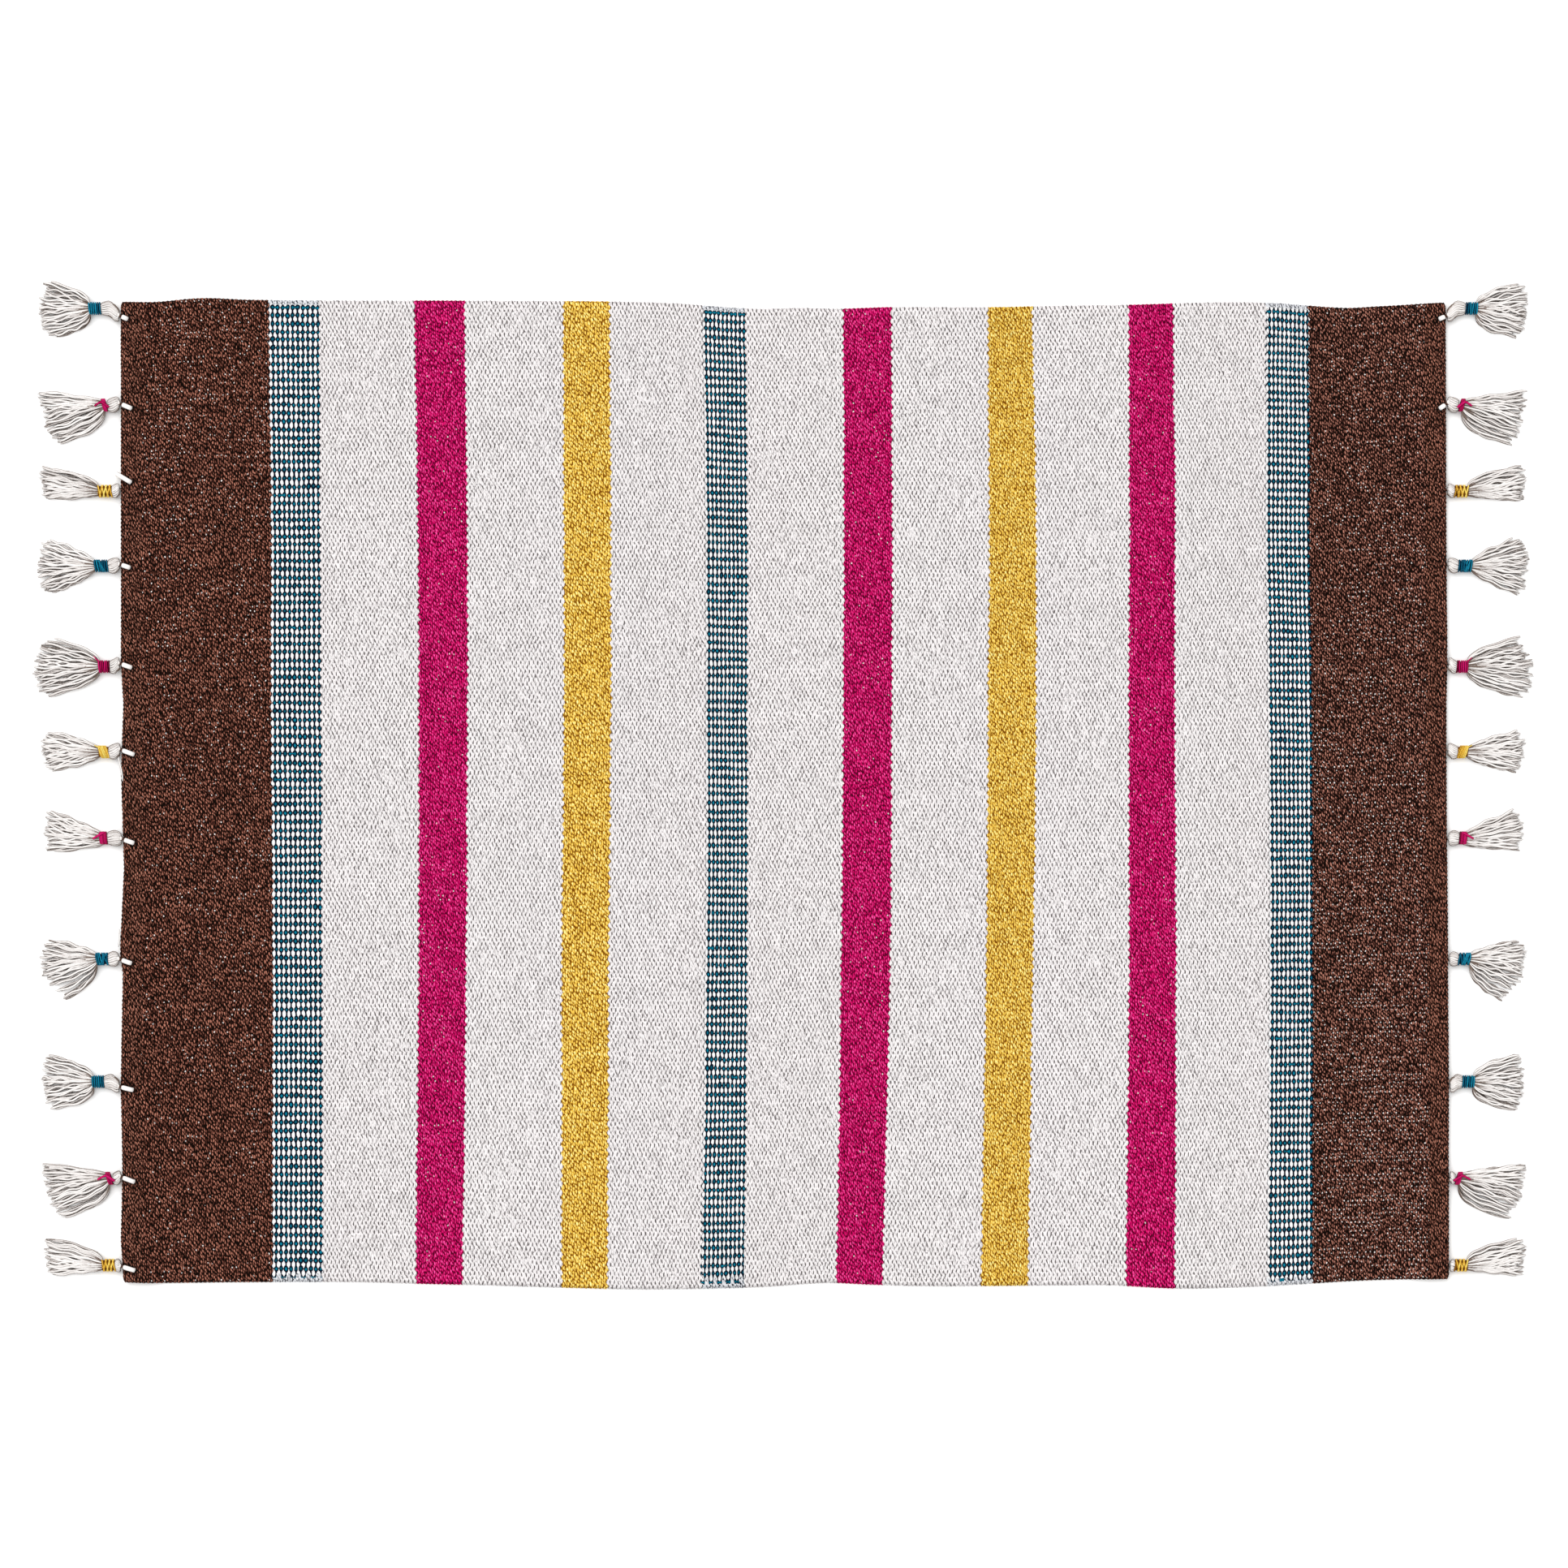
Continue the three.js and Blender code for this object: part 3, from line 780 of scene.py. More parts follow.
@dataclass(frozen=True)
class WeaveFinish:
    """The finish of the woven cloth: a plain weave whose weft covers the warp.

    A float is the lens of weft that shows over a warp thread. Floats lie like the black squares
    of a chessboard, and the small holes between them like the white ones. In the methods u is a
    pick, v is a warp thread and g is the material.

    Args:
        teal_side, teal_top: colours of the teal picks, in painted shade at a dot's rim and in full light
            in its middle.
        warp: colour of the warp, where it shows.
        cord_shade: colour of the painted shade on a hem beside a hanging cord's stitch.
        warps: number of warp threads.
        stray, teal_stray: how far the threads stray from their places, in threads.
        stray_scale: how often they do, to a thread.
        lean, brick: how far the grains of the yarn lean, and are set off from pick to pick.
        scatter: of the grains, from 0, on a grid, to 1.
        teal_near, teal_far: threads over which a teal stripe's dots give way at its two ends.
        joined: share of the teal floats that run into the next one.
        bump: depth of the fine relief, in metres.
    """

    teal_side: Rgb = (0, 32, 62)
    teal_top: Rgb = (0, 138, 168)
    warp: Rgb = (255, 247, 243)
    cord_shade: Rgb = (8, 3, 2)
    warps: int = 232
    stray: float = 0.55
    teal_stray: float = 0.3
    stray_scale: float = 0.37
    lean: float = -0.1
    brick: float = 0.5
    scatter: float = 0.6
    teal_near: float = 30.0
    teal_far: float = 40.0
    joined: float = 0.015
    bump: float = 0.00035

    def band(self, pick: Value) -> Value:
        """Which band a pick is in, counted from the left end."""
        past = [pick > float(start) - 0.5 for start in np.cumsum([band.picks for band in BANDS])[:-1]]
        return sum(past[1:], past[0])

    def by_band(self, g: Graph, band: Value, values: list[tuple[float, ...]]) -> Value:
        """What each band says.

        Args:
            g: the material.
            band: number of the band.
            values: a colour and an alpha for each.

        Returns:
            The band's colour.
        """
        ramp = g.node("ValToRGB", (band + 0.5) * (1 / len(values)))
        ramp.color_ramp.interpolation = "CONSTANT"
        stops = ramp.color_ramp.elements
        for k, value in enumerate(values):
            stop = stops[k] if k < len(stops) else stops.new(k / len(values))
            stop.position = k / len(values)
            stop.color = value
        return Value(g, ramp.outputs[0])

    def grains(self, g: Graph, u: Value, v: Value) -> tuple[Value, Value, Value]:
        """Irregular grains, one for each pick and warp thread, into which the yarn's twist breaks
        the floats up.

        Args:
            g: the material.
            u, v: place in the weave.

        Returns:
            How far the place is from a grain's rim and from its middle, and the grain's own
            random number.
        """
        place = g.join(u + v * self.lean, v + u * self.brick)
        found = []
        for feature in ("DISTANCE_TO_EDGE", "F1"):
            made = g.node("TexVoronoi", place, voronoi_dimensions="2D", feature=feature)
            made.inputs["Scale"].default_value = 1.0
            made.inputs["Randomness"].default_value = self.scatter
            found.append(made)
        rim, middle = (Value(g, made.outputs["Distance"]) for made in found)
        return rim, middle, g.split(Value(g, found[1].outputs["Color"]))[0]

    def holes(self, g: Graph, p: Value, q: Value) -> tuple[list[Value], Value, Value]:
        """The nearest of the small holes between the floats.

        Args:
            g: the material.
            p, q: place on the chessboard of floats, along its diagonals.

        Returns:
            The hole's three random numbers, and how far the place is from its middle by the measure of a
            pit in painted shade and by that of a white speck, each about 1 at its rim.
        """
        hole_p, hole_q = math.floor(p), math.floor(q)
        in_p, in_q = p - hole_p - 0.5, q - hole_q - 0.5
        across, along = in_p + in_q, in_p - in_q
        dice = g.dice(hole_p, hole_q, 7.0)
        tilted = across + (dice[2] - 0.4) * along * 0.9
        return dice, g.far(tilted * 3.9, along * 2.05), g.far(tilted * 2.5, along * 4.2)

    def material(self) -> bpy.types.Material:
        """Wires the material.

        Returns:
            The material.
        """
        g = Graph("woven_cloth")
        dyes = [band.stripe.value for band in BANDS]
        even_u, even_v, _ = g.split(g.out("UVMap", uv_map="weave"))
        u = even_u + (g.noise(even_u, even_v, self.stray_scale) - 0.5) * self.stray
        v = even_v + (g.noise(even_v, even_u, self.stray_scale) - 0.5) * self.stray

        # The nearest float, and how near its rim the place is
        p, q = (u + v) * 0.5, (u - v) * 0.5
        float_p, float_q = round(p), round(q)
        part_p, part_q = p - float_p, q - float_q
        rim = abs(part_p - part_q) + abs(part_p + part_q)

        # Each band's own ways
        band = self.band(float_p + float_q)
        crease, pit, is_teal = g.split(self.by_band(g, band, [
            (dye.crease, dye.pit, float(row.stripe is Stripe.TEAL), 1) for dye, row in zip(dyes, BANDS)
        ]))
        near, far, _ = g.split(self.by_band(g, band, [(*dye.specks, 0, 1) for dye in dyes]))
        specks = near + (far - near) * even_v * (1 / self.warps)

        # Brightness from 0, the dark colour, through 0.5, the middle one, to 1, the light one, with
        # painted highlights on crowns and painted shade in creases
        grain_rim, grain_far, grain_dice = self.grains(g, u, v)
        hole_dice, pit_far, speck_far = self.holes(g, p, q)
        mottle = g.noise(u, v, 0.05, 2.0)
        streak = g.noise(u * 1.3 + v * 0.5, v * 0.9, 1.75)
        level = (
            0.5 + g.step(rim, 0.1, 0.9, 0.1, -0.06)                 # painted highlight on a float's crown, painted shade at its rim
            + (grain_dice - 0.5) * (0.12 + crease * 0.5)            # lighter and darker grains
            + (streak - 0.5) * (0.35 + crease * 1.7)                # streaks along the yarn
            + (mottle - 0.5) * 0.06
            + g.step(grain_far, 0.12, 0.62, 0.32, -0.5) * crease    # painted highlight on a grain's crown, painted shade towards its edge
            + g.step(grain_rim, 0.0, 0.26, -0.42, 0.08) * crease    # painted shade in the creases between grains
        )
        # The small holes between floats: their bump, and painted shade in them, deeper in some
        depth = g.math("ADD", 0.3 + hole_dice[0] * 0.9, mottle - 0.5, clamp=True)
        hollow = g.step(pit_far / (0.6 + pit * 0.55), 0.45, 1.05, 1, 0) * depth
        level = level - hollow * pit * 0.85
        tones = [
            self.by_band(g, band, [albedo(getattr(dye, tone)) for dye in dyes])
            for tone in ("dark", "mid", "light")
        ]
        cloth = g.mix(g.step(level, 0.0, 0.5), tones[0], tones[1])
        cloth = g.mix(g.step(level, 0.5, 1.0), cloth, tones[2])

        # The warp shows as white specks, in loose rows and clusters
        cluster = g.step(g.noise(u * 0.14, v, 0.45), 0.35, 0.7, 0.7, 2.8)
        bare = hole_dice[1] > 1.0 - specks * cluster
        speck = bare * g.step(speck_far, 0.5, 0.95, 1, 0) * (0.4 + hole_dice[0] * 0.7)
        cloth = g.mix(speck, cloth, albedo(self.warp))
        cloth = g.mix(is_teal, cloth, self.teal(g, band, even_u, even_v, tones, cloth))

        # Painted shade on the hems beside the hanging cords' stitches
        press = g.out("Attribute", at="Fac", attribute_name="press")
        cloth = g.mix(press * 0.9, cloth, albedo(self.cord_shade))
        fuzz = g.noise(u * 3.0, v * 1.2, 2.3, 2.0)
        height = (
            g.step(rim, 0.2, 1.0, 1, 0) * 0.5                       # a float's crown
            + g.step(grain_rim, 0.0, 0.25) * 0.6                    # the creases between grains
            + fuzz * 0.5 + hollow * -0.8
        )
        g.dress(cloth, 0.78 + fuzz * 0.2, height, self.bump)
        return g.material

    def teal(
        self, g: Graph, band: Value, even_u: Value, even_v: Value, tones: list[Value], plain: Value,
    ) -> Value:
        """The stripes in which every second pick is teal and the others white.

        A teal pick shows as a chain: a broad dot where it floats over a warp thread, in painted shade at
        its rim, and a thin line in painted shade where it dives under the next one. The white picks
        between show the same way, as ovals that are lighter in the middle.

        Args:
            g: the material.
            band: number of the band.
            even_u, even_v: place in the weave.
            tones: dark, middle and light colours of the white yarn, for its painted shade, its body and
                its lighter middle.
            plain: colour of the cloth at the stripes' ends, past the first teal float.

        Returns:
            The stripes' colour.
        """
        inset_of = {row.name: (row.near, row.far, 0, 1) for row in TEAL_ENDS}
        near, far, _ = g.split(self.by_band(g, band, [
            inset_of.get(row.name, (0, 0, 0, 1)) for row in BANDS
        ]))
        high = self.warps
        far_shift = far * g.step(even_v, high - self.teal_far, high)
        v = even_v + far_shift + near * g.step(even_v, 0, self.teal_near, -1, 0)
        u = even_u + (g.noise(even_u, v, self.stray_scale) - 0.5) * self.teal_stray
        v = v + (g.noise(v, u, self.stray_scale) - 0.5) * self.teal_stray

        # The nearest teal float, the thin line to the next one and the gap beside it
        column, row = round(u * 0.5) * 2.0, round(v * 0.5) * 2.0
        across, along = u - column, v - row
        dice = g.dice(column, row, 3.0)
        gap = math.floor(u * 0.5)
        between = g.dice(gap, row, 5.0)

        # The weft turns back at the edges, so that pairs of picks are joined there
        odd = g.math("FLOORED_MODULO", gap, 2.0)
        first, last = row < 1.0, row > high - 3.0
        joined = (between[0] > 1 - self.joined) + (first * odd + last * (1.0 - odd))
        inside = g.step(even_v, 0.35, 0.5) * g.step(even_v, high - 1.7, high - 1.5, 1, 0)
        inside = inside * (1.0 - first * (1.0 - odd))
        slide = (dice[1] - 0.5) * 0.3
        dot = g.far(
            (across + slide * along) * (0.93 + dice[0] * 0.45),
            (along + slide * 0.5) * (1.22 + dice[2] * 0.45),
        )
        link = g.math("MAXIMUM", 1.0 - joined * 0.95, abs(along * 3.6))
        dot = g.math("MINIMUM", dot, link + (1.0 - joined) * 9.0)

        # The white floats between them, each an oval with a neck to the next
        white_row = math.floor(v * 0.5) * 2.0
        white_u, white_v = u - gap * 2.0 - 1.0, v - white_row - 1.0
        own = g.dice(gap, white_row, 9.0)
        lean = (own[1] - 0.4) * white_v * 0.35
        oval = g.far((white_u + lean) * (1.28 + own[0] * 0.2), white_v * (1.0 + own[2] * 0.25))
        pinch = g.step(between[2], 0.15, 0.45) * g.step(abs(along), 0.1, 0.24, 1, 0)
        neck = g.math("MAXIMUM", g.step(abs(white_u), 0.14, 0.34), pinch)
        # Painted shade around the white ovals, where the picks dive under the warp
        shade = g.math("MINIMUM", g.step(oval, 0.84, 1.0), neck)
        shade = g.math("MAXIMUM", shade, g.step(dot, 0.95, 1.12, 1, 0))
        # Teal dots in painted shade at the rim and in full light in the middle; white ovals lighter in
        # the middle
        core = g.step(dot, 0.38, 0.74, 1, 0) * (0.35 + dice[1] * 0.65)
        teal = g.mix(g.step(dot, 0.1, 0.75), albedo(self.teal_top), albedo(self.teal_side))
        white = g.mix(g.step(oval, 0.4, 0.9, 0, 0.7), tones[2], tones[1])
        striped = g.mix(shade, white, tones[0])
        return g.mix(inside, plain, g.mix(core, striped, teal))


@dataclass(frozen=True)
class ThreadFinish:
    """The finish of a twisted yarn.

    Its map runs around the yarn, from 0, underneath, through 0.5, on top, to 1, and along it in
    millimetres. The tag `deep` says how far down in the tassel a strand lies, and so how far painted
    shade darkens it; below 0 it lightens it. The tag `strand` is its own random number.

    Args:
        yarn: which one.
        sunken: colour of the yarn where it lies deepest in shade.
        bump: depth of its twist and its fuzz, in metres.
    """

    yarn: Yarn
    sunken: Rgb = (66, 42, 34)
    bump: float = 0.00025

    def material(self) -> bpy.types.Material:
        """Wires the material.

        Returns:
            The material.
        """
        thread = self.yarn.value
        g = Graph(f"{self.yarn.name.lower()}_yarn")
        around, length, _ = g.split(g.out("UVMap", uv_map="yarn"))
        deep, strand = (g.out("Attribute", at="Fac", attribute_name=tag) for tag in ("deep", "strand"))
        turn = around + length * (1 / thread.ply) + strand * 5.0
        twist = abs(g.math("SINE", turn * math.tau))
        fuzz = g.noise(around * 6.0, length * 0.5 + strand * 90.0, 1.4, 3.0)
        side = abs(g.math("COSINE", around * math.tau))
        # Brightness, with painted shade where a strand lies deep, over its twist, fuzz and own tone
        level = (
            g.step(side, 0.25, 0.95, -0.3, 0.64)                    # painted shade on the sides and a painted highlight on top
            + g.step(twist, 0.0, 0.5, -thread.twist, thread.twist * 0.5)
            + (fuzz - 0.5) * 0.7 + (strand - 0.5) * 0.3 + deep * -0.7 + 0.12
        )
        colour = g.mix(g.step(level, 0.0, 0.45), albedo(thread.dark), albedo(thread.mid))
        colour = g.mix(g.step(level, 0.45, 0.95), colour, albedo(thread.light))
        # Painted shade, darkest where the yarn lies deepest
        colour = g.mix(g.step(deep, 1.1, 1.8), colour, albedo(self.sunken))
        height = twist * thread.twist * 6.0 + fuzz * 0.6
        g.dress(colour, thread.roughness - 0.08 + fuzz * 0.16, height, self.bump)
        return g.material


@dataclass
class Hem:
    """The section of a hem, as it lies folded under at each end of the rug.

    It is read by the picks from its raw end: the under layer, the fold, the top and then the ramp
    on which the cloth climbs down to the surface.
    """

    depth: float = 12.5            # of the under layer, from the fold
    underside: float = 1.8         # height of the under layer's face
    radius: float = 1.95           # of the fold, outside
    top_length: float = 13.5
    ramp_length: float = 15.0
    under_picks: int = 9
    fold_picks: int = 5
    field_thick: float = 3.0       # of the cloth past the hem
    thick: float = 1.8             # of each layer

    @property
    def top(self) -> float:
        """Height of the hem's top."""
        return self.underside + 2 * self.radius

    def fold(self, pick: Field) -> tuple[Field, Field, Field, Field]:
        """The hem's face at a pick from its raw end.

        Args:
            pick: from 0 to HEADING_PICKS.

        Returns:
            Set back from the fold, height, and the face's normal, out and up.
        """
        fold_end = self.under_picks + self.fold_picks
        angle = math.pi * (np.clip((pick - self.under_picks) / self.fold_picks, 0, 1) - 0.5)
        under = lerp(self.depth, self.radius, np.clip(pick / self.under_picks, 0, 1))
        on_top = np.clip((pick - fold_end) / (HEADING_PICKS - fold_end), 0, 1)
        over = lerp(self.radius, self.top_length, on_top)
        arc = self.radius - self.radius * np.cos(angle)
        back = np.where(pick < self.under_picks, under, np.where(pick < fold_end, arc, over))
        height = self.underside + self.radius + self.radius * np.sin(angle)
        return back, height, np.cos(angle), np.sin(angle)

    def ramp(self, set_back: Field) -> Field:
        """How far down its ramp the cloth is at a set back from the fold, from 0 to 1."""
        return smoothstep(self.top_length, self.top_length + self.ramp_length, set_back)

    def fall(self, set_back: Field) -> Field:
        """Height of the face past the hem, at a set back from the fold."""
        return lerp(self.top, self.field_thick, self.ramp(set_back))

    def thickness(self, set_back: Field) -> Field:
        """Thickness of the cloth at a set back from the fold."""
        return lerp(self.thick, self.field_thick, self.ramp(set_back))


def fold_at(end: End, y: Field) -> Field:
    """Where the fold of an end's hem lies, as a distance from the rug's middle."""
    column = [getattr(row, end.name.lower()) for row in END_WAVER]
    return HALF_LENGTH + np.interp(y, [row.y for row in END_WAVER], column)


class CordHalf(NamedTuple):
    """Half of a hanging cord, over the hem with side 1 or under it with side -1: its place on
    the fold, its drift across on the way to the stitch, the stitch's set back, and whether it is
    rooted in the head and stops in the hem's under layer."""

    side: int
    y: float
    drift: float
    depth: float
    rooted: bool
    stops: bool

    @classmethod
    def of(cls, end: End, index: int) -> list["CordHalf"]:
        """The halves of a tassel's cord. The askew one isn't rooted in its head on top. At the
        right end only the first few show, and the others stop in the hem's under layer.

        Args:
            end: the tassel's end of the rug.
            index: its number there.

        Returns:
            The half over the hem, if there is one, and the half under it.
        """
        stitch = TASSELS[index].stitch
        if end is End.RIGHT and index >= RIGHT_STITCHES:
            return [cls(-1, stitch.y, stitch.drift, stitch.depth, rooted=True, stops=True)]
        depth = min(stitch.depth, RIGHT_STITCH_DEPTH) if end is End.RIGHT else stitch.depth
        over = cls(1, stitch.y, stitch.drift, depth, rooted=True, stops=False)
        if (end, index) == ASKEW_CORD:
            over = over._replace(y=ASKEW_PLACE, drift=ASKEW_DRIFT, rooted=False)
        drift_below = over.y + over.drift - stitch.y
        return [over, cls(-1, stitch.y, drift_below, depth, rooted=True, stops=False)]


def quads(grid: Field) -> Field:
    """The four corners of each cell of a grid, in order around it."""
    return np.stack([grid[:-1, :-1], grid[1:, :-1], grid[1:, 1:], grid[:-1, 1:]], -1)


def zipped(
    upper: Field, upper_at: Field, lower: Field, lower_at: Field, turned: bool,
) -> tuple[Field, Field, Field]:
    """Triangles between two lines of vertices that run side by side.

    Args:
        upper, lower: the lines' vertex numbers.
        upper_at, lower_at: how far along each vertex is.
        turned: whether the triangles face the other way.

    Returns:
        The triangles, and for each corner how far along it is and whether it is on the lower line.
    """
    faces, places, below = [], [], []
    a, b = 0, 0
    while a < len(upper) - 1 or b < len(lower) - 1:
        next_a = upper_at[a + 1] if a + 1 < len(upper) else math.inf
        next_b = lower_at[b + 1] if b + 1 < len(lower) else math.inf
        if next_a <= next_b:
            faces.append((upper[a], upper[a + 1], lower[b]))
            places.append((upper_at[a], upper_at[a + 1], lower_at[b]))
            below.append((0, 0, 1))
            a += 1
        else:
            faces.append((upper[a], lower[b + 1], lower[b]))
            places.append((upper_at[a], lower_at[b + 1], lower_at[b]))
            below.append((0, 1, 1))
            b += 1
    order = slice(None, None, -1 if turned else 1)
    return tuple(np.array(values)[:, order] for values in (faces, places, below))


@dataclass
class Cloth:
    """The woven cloth: its lattice of picks and warp threads, laid as the real one lies."""

    warps: int = 232
    grading: float = 0.04          # by which the warp is wider set at the near edge than midway
    crown: float = 0.05            # of a float, above the cloth's level
    crease: float = -0.42          # between two floats
    pit: float = -0.85             # at a hole
    level: float = -0.05           # of the whole weave, so that a crown is as high as the CAD's face
    crown_rough: float = 0.13      # unevenness from float to float
    crease_rough: float = 0.07     # unevenness from crease to crease
    back_step: int = 4             # picks and warps between the underside's vertices
    selvedge: float = 0.35         # by which the underside is drawn in at the long edges, in warps
    edge_turn: float = 0.9         # warps over which the face turns down at the long edges
    loop: float = 0.22             # of the weft around the outer warp thread
    corner_radius: float = 2.5
    calm_warps: float = 4.0        # at a long edge, over which the lattice's unevenness grows
    calm_picks: float = 20.0       # at a raw end, likewise
    cord_half: float = 1.5         # half a hanging cord's width
    press_near: float = 0.1        # past the cord's side, where the painted shade on the hem is darkest
    press_far: float = 1.1         # past the cord's side, where the painted shade has faded and the hem is as light as elsewhere
    first_edges: tuple[float, float] = (-305.0, 297.0)  # the near and far edge before any wave
    face_strip: tuple[float, float] = (0.0, 0.7)        # of the baking map: left side and width
    back_strip: tuple[float, float] = (0.72, 0.24)
    wall_left: float = 0.972       # of the first wall's strip
    wall_step: float = 0.007       # from one wall's strip to the next
    wall_wide: float = 0.005
    hem: Hem = field(default_factory=Hem)

    def __post_init__(self) -> None:
        """Counts the picks and makes the seeded unevenness of the whole cloth."""
        self.starts = np.cumsum([0] + [band.picks for band in BANDS])
        self.picks = int(self.starts[-1])
        rng = np.random.default_rng(SEED)
        shape = (2 * self.picks + 3, 2 * self.warps + 3)    # on half picks and half warps
        *self.sway, self.swell = (
            sum(hills.height * smooth_noise(rng, shape, (hills.along, hills.across)) for hills in layers)
            for layers in (SWAY_ALONG, SWAY_ACROSS, SWELL)
        )
        self.rough = rng.uniform(-1, 1, shape)

    def span(self, name: str) -> tuple[int, int]:
        """First pick of a piece of the cloth, and the one after its last."""
        first, last = ([band.name for band in BANDS].index(band) for band in PANELS[name])
        return int(self.starts[first]), int(self.starts[last + 1])

    def half_steps(self, u: Field, v: Field) -> tuple[Field, Field]:
        """Row and column of the unevenness at picks and warp threads."""
        return np.round(2 * u).astype(int), np.round(2 * v + 1).astype(int)

    def lay(self, u: Field, v: Field, lift: Field, sway: bool = True) -> Field:
        """Where points of the cloth lie.

        Args:
            u: their picks, 0 at the raw end of the left hem.
            v: their warp threads, from -0.5 at the near edge to warps - 0.5 at the far one.
            lift: how far out along the face's normal.
            sway: whether the lattice's unevenness moves them.

        Returns:
            The points, in millimetres.
        """
        u, v = np.broadcast_arrays(np.asarray(u, float), np.asarray(v, float))
        share = (v + 0.5) / self.warps
        share = share + self.grading * share * (1 - share)
        y = lerp(*self.first_edges, share)
        for _ in range(2):
            x, back, *_ = self.along(u, y)
            short = np.maximum(self.corner_radius - back, 0)
            inset = self.corner_radius - np.sqrt(np.maximum(self.corner_radius**2 - short**2, 0))
            near = through(*zip(*NEAR_EDGE), x) + inset
            far = through(*zip(*FAR_EDGE), x) - inset
            y = lerp(near, far, share)
        x, back, height, out, up = self.along(u, y)
        points = np.stack([x + out * lift, y, height + up * lift], -1)
        if sway:
            calm = np.clip(np.minimum(share, 1 - share) * self.warps / self.calm_warps, 0, 1)
            calm = calm * np.clip(np.minimum(u, self.picks - u) / self.calm_picks - 0.5, 0, 1)
            row, column = self.half_steps(u, v)
            row = np.clip(row, 0, self.rough.shape[0] - 1)
            column = np.clip(column, 0, self.rough.shape[1] - 1)
            for axis in (0, 1):
                points[..., axis] += self.sway[axis][row, column] * calm
        return points

    def along(self, u: Field, y: Field) -> tuple[Field, Field, Field, Field, Field]:
        """The cloth's section along the rug.

        Args:
            u: picks.
            y: places across the rug, in millimetres.

        Returns:
            X, set back from the nearer fold, height, and the face's normal along X and up.
        """
        left = self.end_section(End.LEFT, u, y)
        right = self.end_section(End.RIGHT, self.picks - u, y)
        picks = self.starts[2:-2]                           # at the borders
        lines = [self.border(k, y) for k in range(len(BORDERS))]
        x = np.zeros_like(y)
        for low, high, x_low, x_high in zip(picks, picks[1:], lines, lines[1:]):
            here = (u >= low) & (u <= high)
            x = np.where(here, lerp(x_low, x_high, (u - low) / (high - low)), x)
        middle = (
            x, HALF_LENGTH - np.abs(x), np.full_like(x, self.hem.field_thick),
            np.zeros_like(x), np.ones_like(x),
        )
        return tuple(
            np.where(u < picks[0], a, np.where(u > picks[-1], b, c))
            for a, b, c in zip(left, right, middle)
        )

    def border(self, k: int, y: Field) -> Field:
        """X of a stripe border, at places across the rug."""
        row = BORDERS[k]
        return through(BORDER_PLACES, (row.near, row.lower, row.middle, row.upper, row.far), y)

    def end_section(self, end: End, pick: Field, y: Field) -> tuple[Field, ...]:
        """The section from a hem's raw end to the first stripe.

        Args:
            end: which one.
            pick: counted from its raw end.
            y: places across the rug.

        Returns:
            As along() does.
        """
        hem, sign, fold_x = self.hem, end.value, fold_at(end, y)
        outer_border, brown = (0, BANDS[1]) if end is End.LEFT else (-1, BANDS[-2])
        back, height, out, up = hem.fold(pick)
        border = np.abs(self.border(outer_border, y))
        past = lerp(hem.top_length, fold_x - border, (pick - HEADING_PICKS) / brown.picks)
        in_hem = pick <= HEADING_PICKS
        back = np.where(in_hem, back, past)
        height = np.where(in_hem, height, hem.fall(back))
        out, up = np.where(in_hem, out, 0.0), np.where(in_hem, up, 1.0)
        return sign * (fold_x - back), back, height, sign * out, up

    def thick_at(self, u: Field, v: Field) -> Field:
        """Thickness of the cloth at picks and warp threads."""
        return self.hem.thickness(self.along(u, np.zeros_like(u + v))[1])

    def relief(self, u: Field, v: Field) -> Field:
        """Height of the weave at lattice points and between them.

        Args:
            u: picks, whole ones or halves.
            v: warp threads, likewise.

        Returns:
            How far the face stands out there from the cloth's level.
        """
        whole = np.isclose(u % 1, 0)
        over = np.isclose((u + v) % 2, 0)
        lift = np.where(whole, np.where(over, self.crown, self.pit), self.crease)
        place = self.half_steps(u, v)
        loose = self.rough[place] * np.where(whole, self.crown_rough, self.crease_rough)
        return lift + loose + self.swell[place] + self.level

    def face(self, u: Field, v: Field) -> Field:
        """The face, with its weave, turned down at the long edges.

        Args:
            u, v: picks and warp threads, whole ones or halves.

        Returns:
            Its points, in millimetres.
        """
        from_edge = np.minimum(v + 0.5, self.warps - 0.5 - v)
        drop = np.clip(1 - from_edge / self.edge_turn, 0, 1) ** 2
        lift = lerp(self.relief(u, v), -0.5 * self.thick_at(u, v), drop)
        points = self.lay(u, v, lift)
        loops = np.where(drop > 0.9, self.loop * np.cos(math.pi * np.floor(u)), 0)
        points[..., 1] += loops * np.where(v < 0, -1, 1)
        return points

    def cord_shade(self, points: Field) -> Field:
        """How much painted shade darkens the hems beside the hanging cords' stitches.

        Args:
            points: places on the face, in millimetres.

        Returns:
            From 0, as elsewhere, to 1, right beside a cord.
        """
        shade = np.zeros(points.shape[:-1])
        on_top = points[..., 2] > self.hem.top - 1.5
        halves = [(end, half) for end in End for k in range(len(TASSELS)) for half in CordHalf.of(end, k)]
        for end, half in halves:
            if half.side < 0:
                continue
            fold_x = end.value * fold_at(end, half.y)
            start = np.array([fold_x + end.value, half.y])
            finish = np.array([fold_x - end.value * (half.depth + 0.3), half.y + half.drift])
            way = finish - start
            share = np.clip(((points[..., :2] - start) @ way) / (way @ way), 0, 1)
            gap = np.linalg.norm(points[..., :2] - start - share[..., None] * way, axis=-1)
            near = smoothstep(self.cord_half + self.press_far, self.cord_half + self.press_near, gap)
            shade = np.maximum(shade, np.where(on_top, near, 0))
        return shade

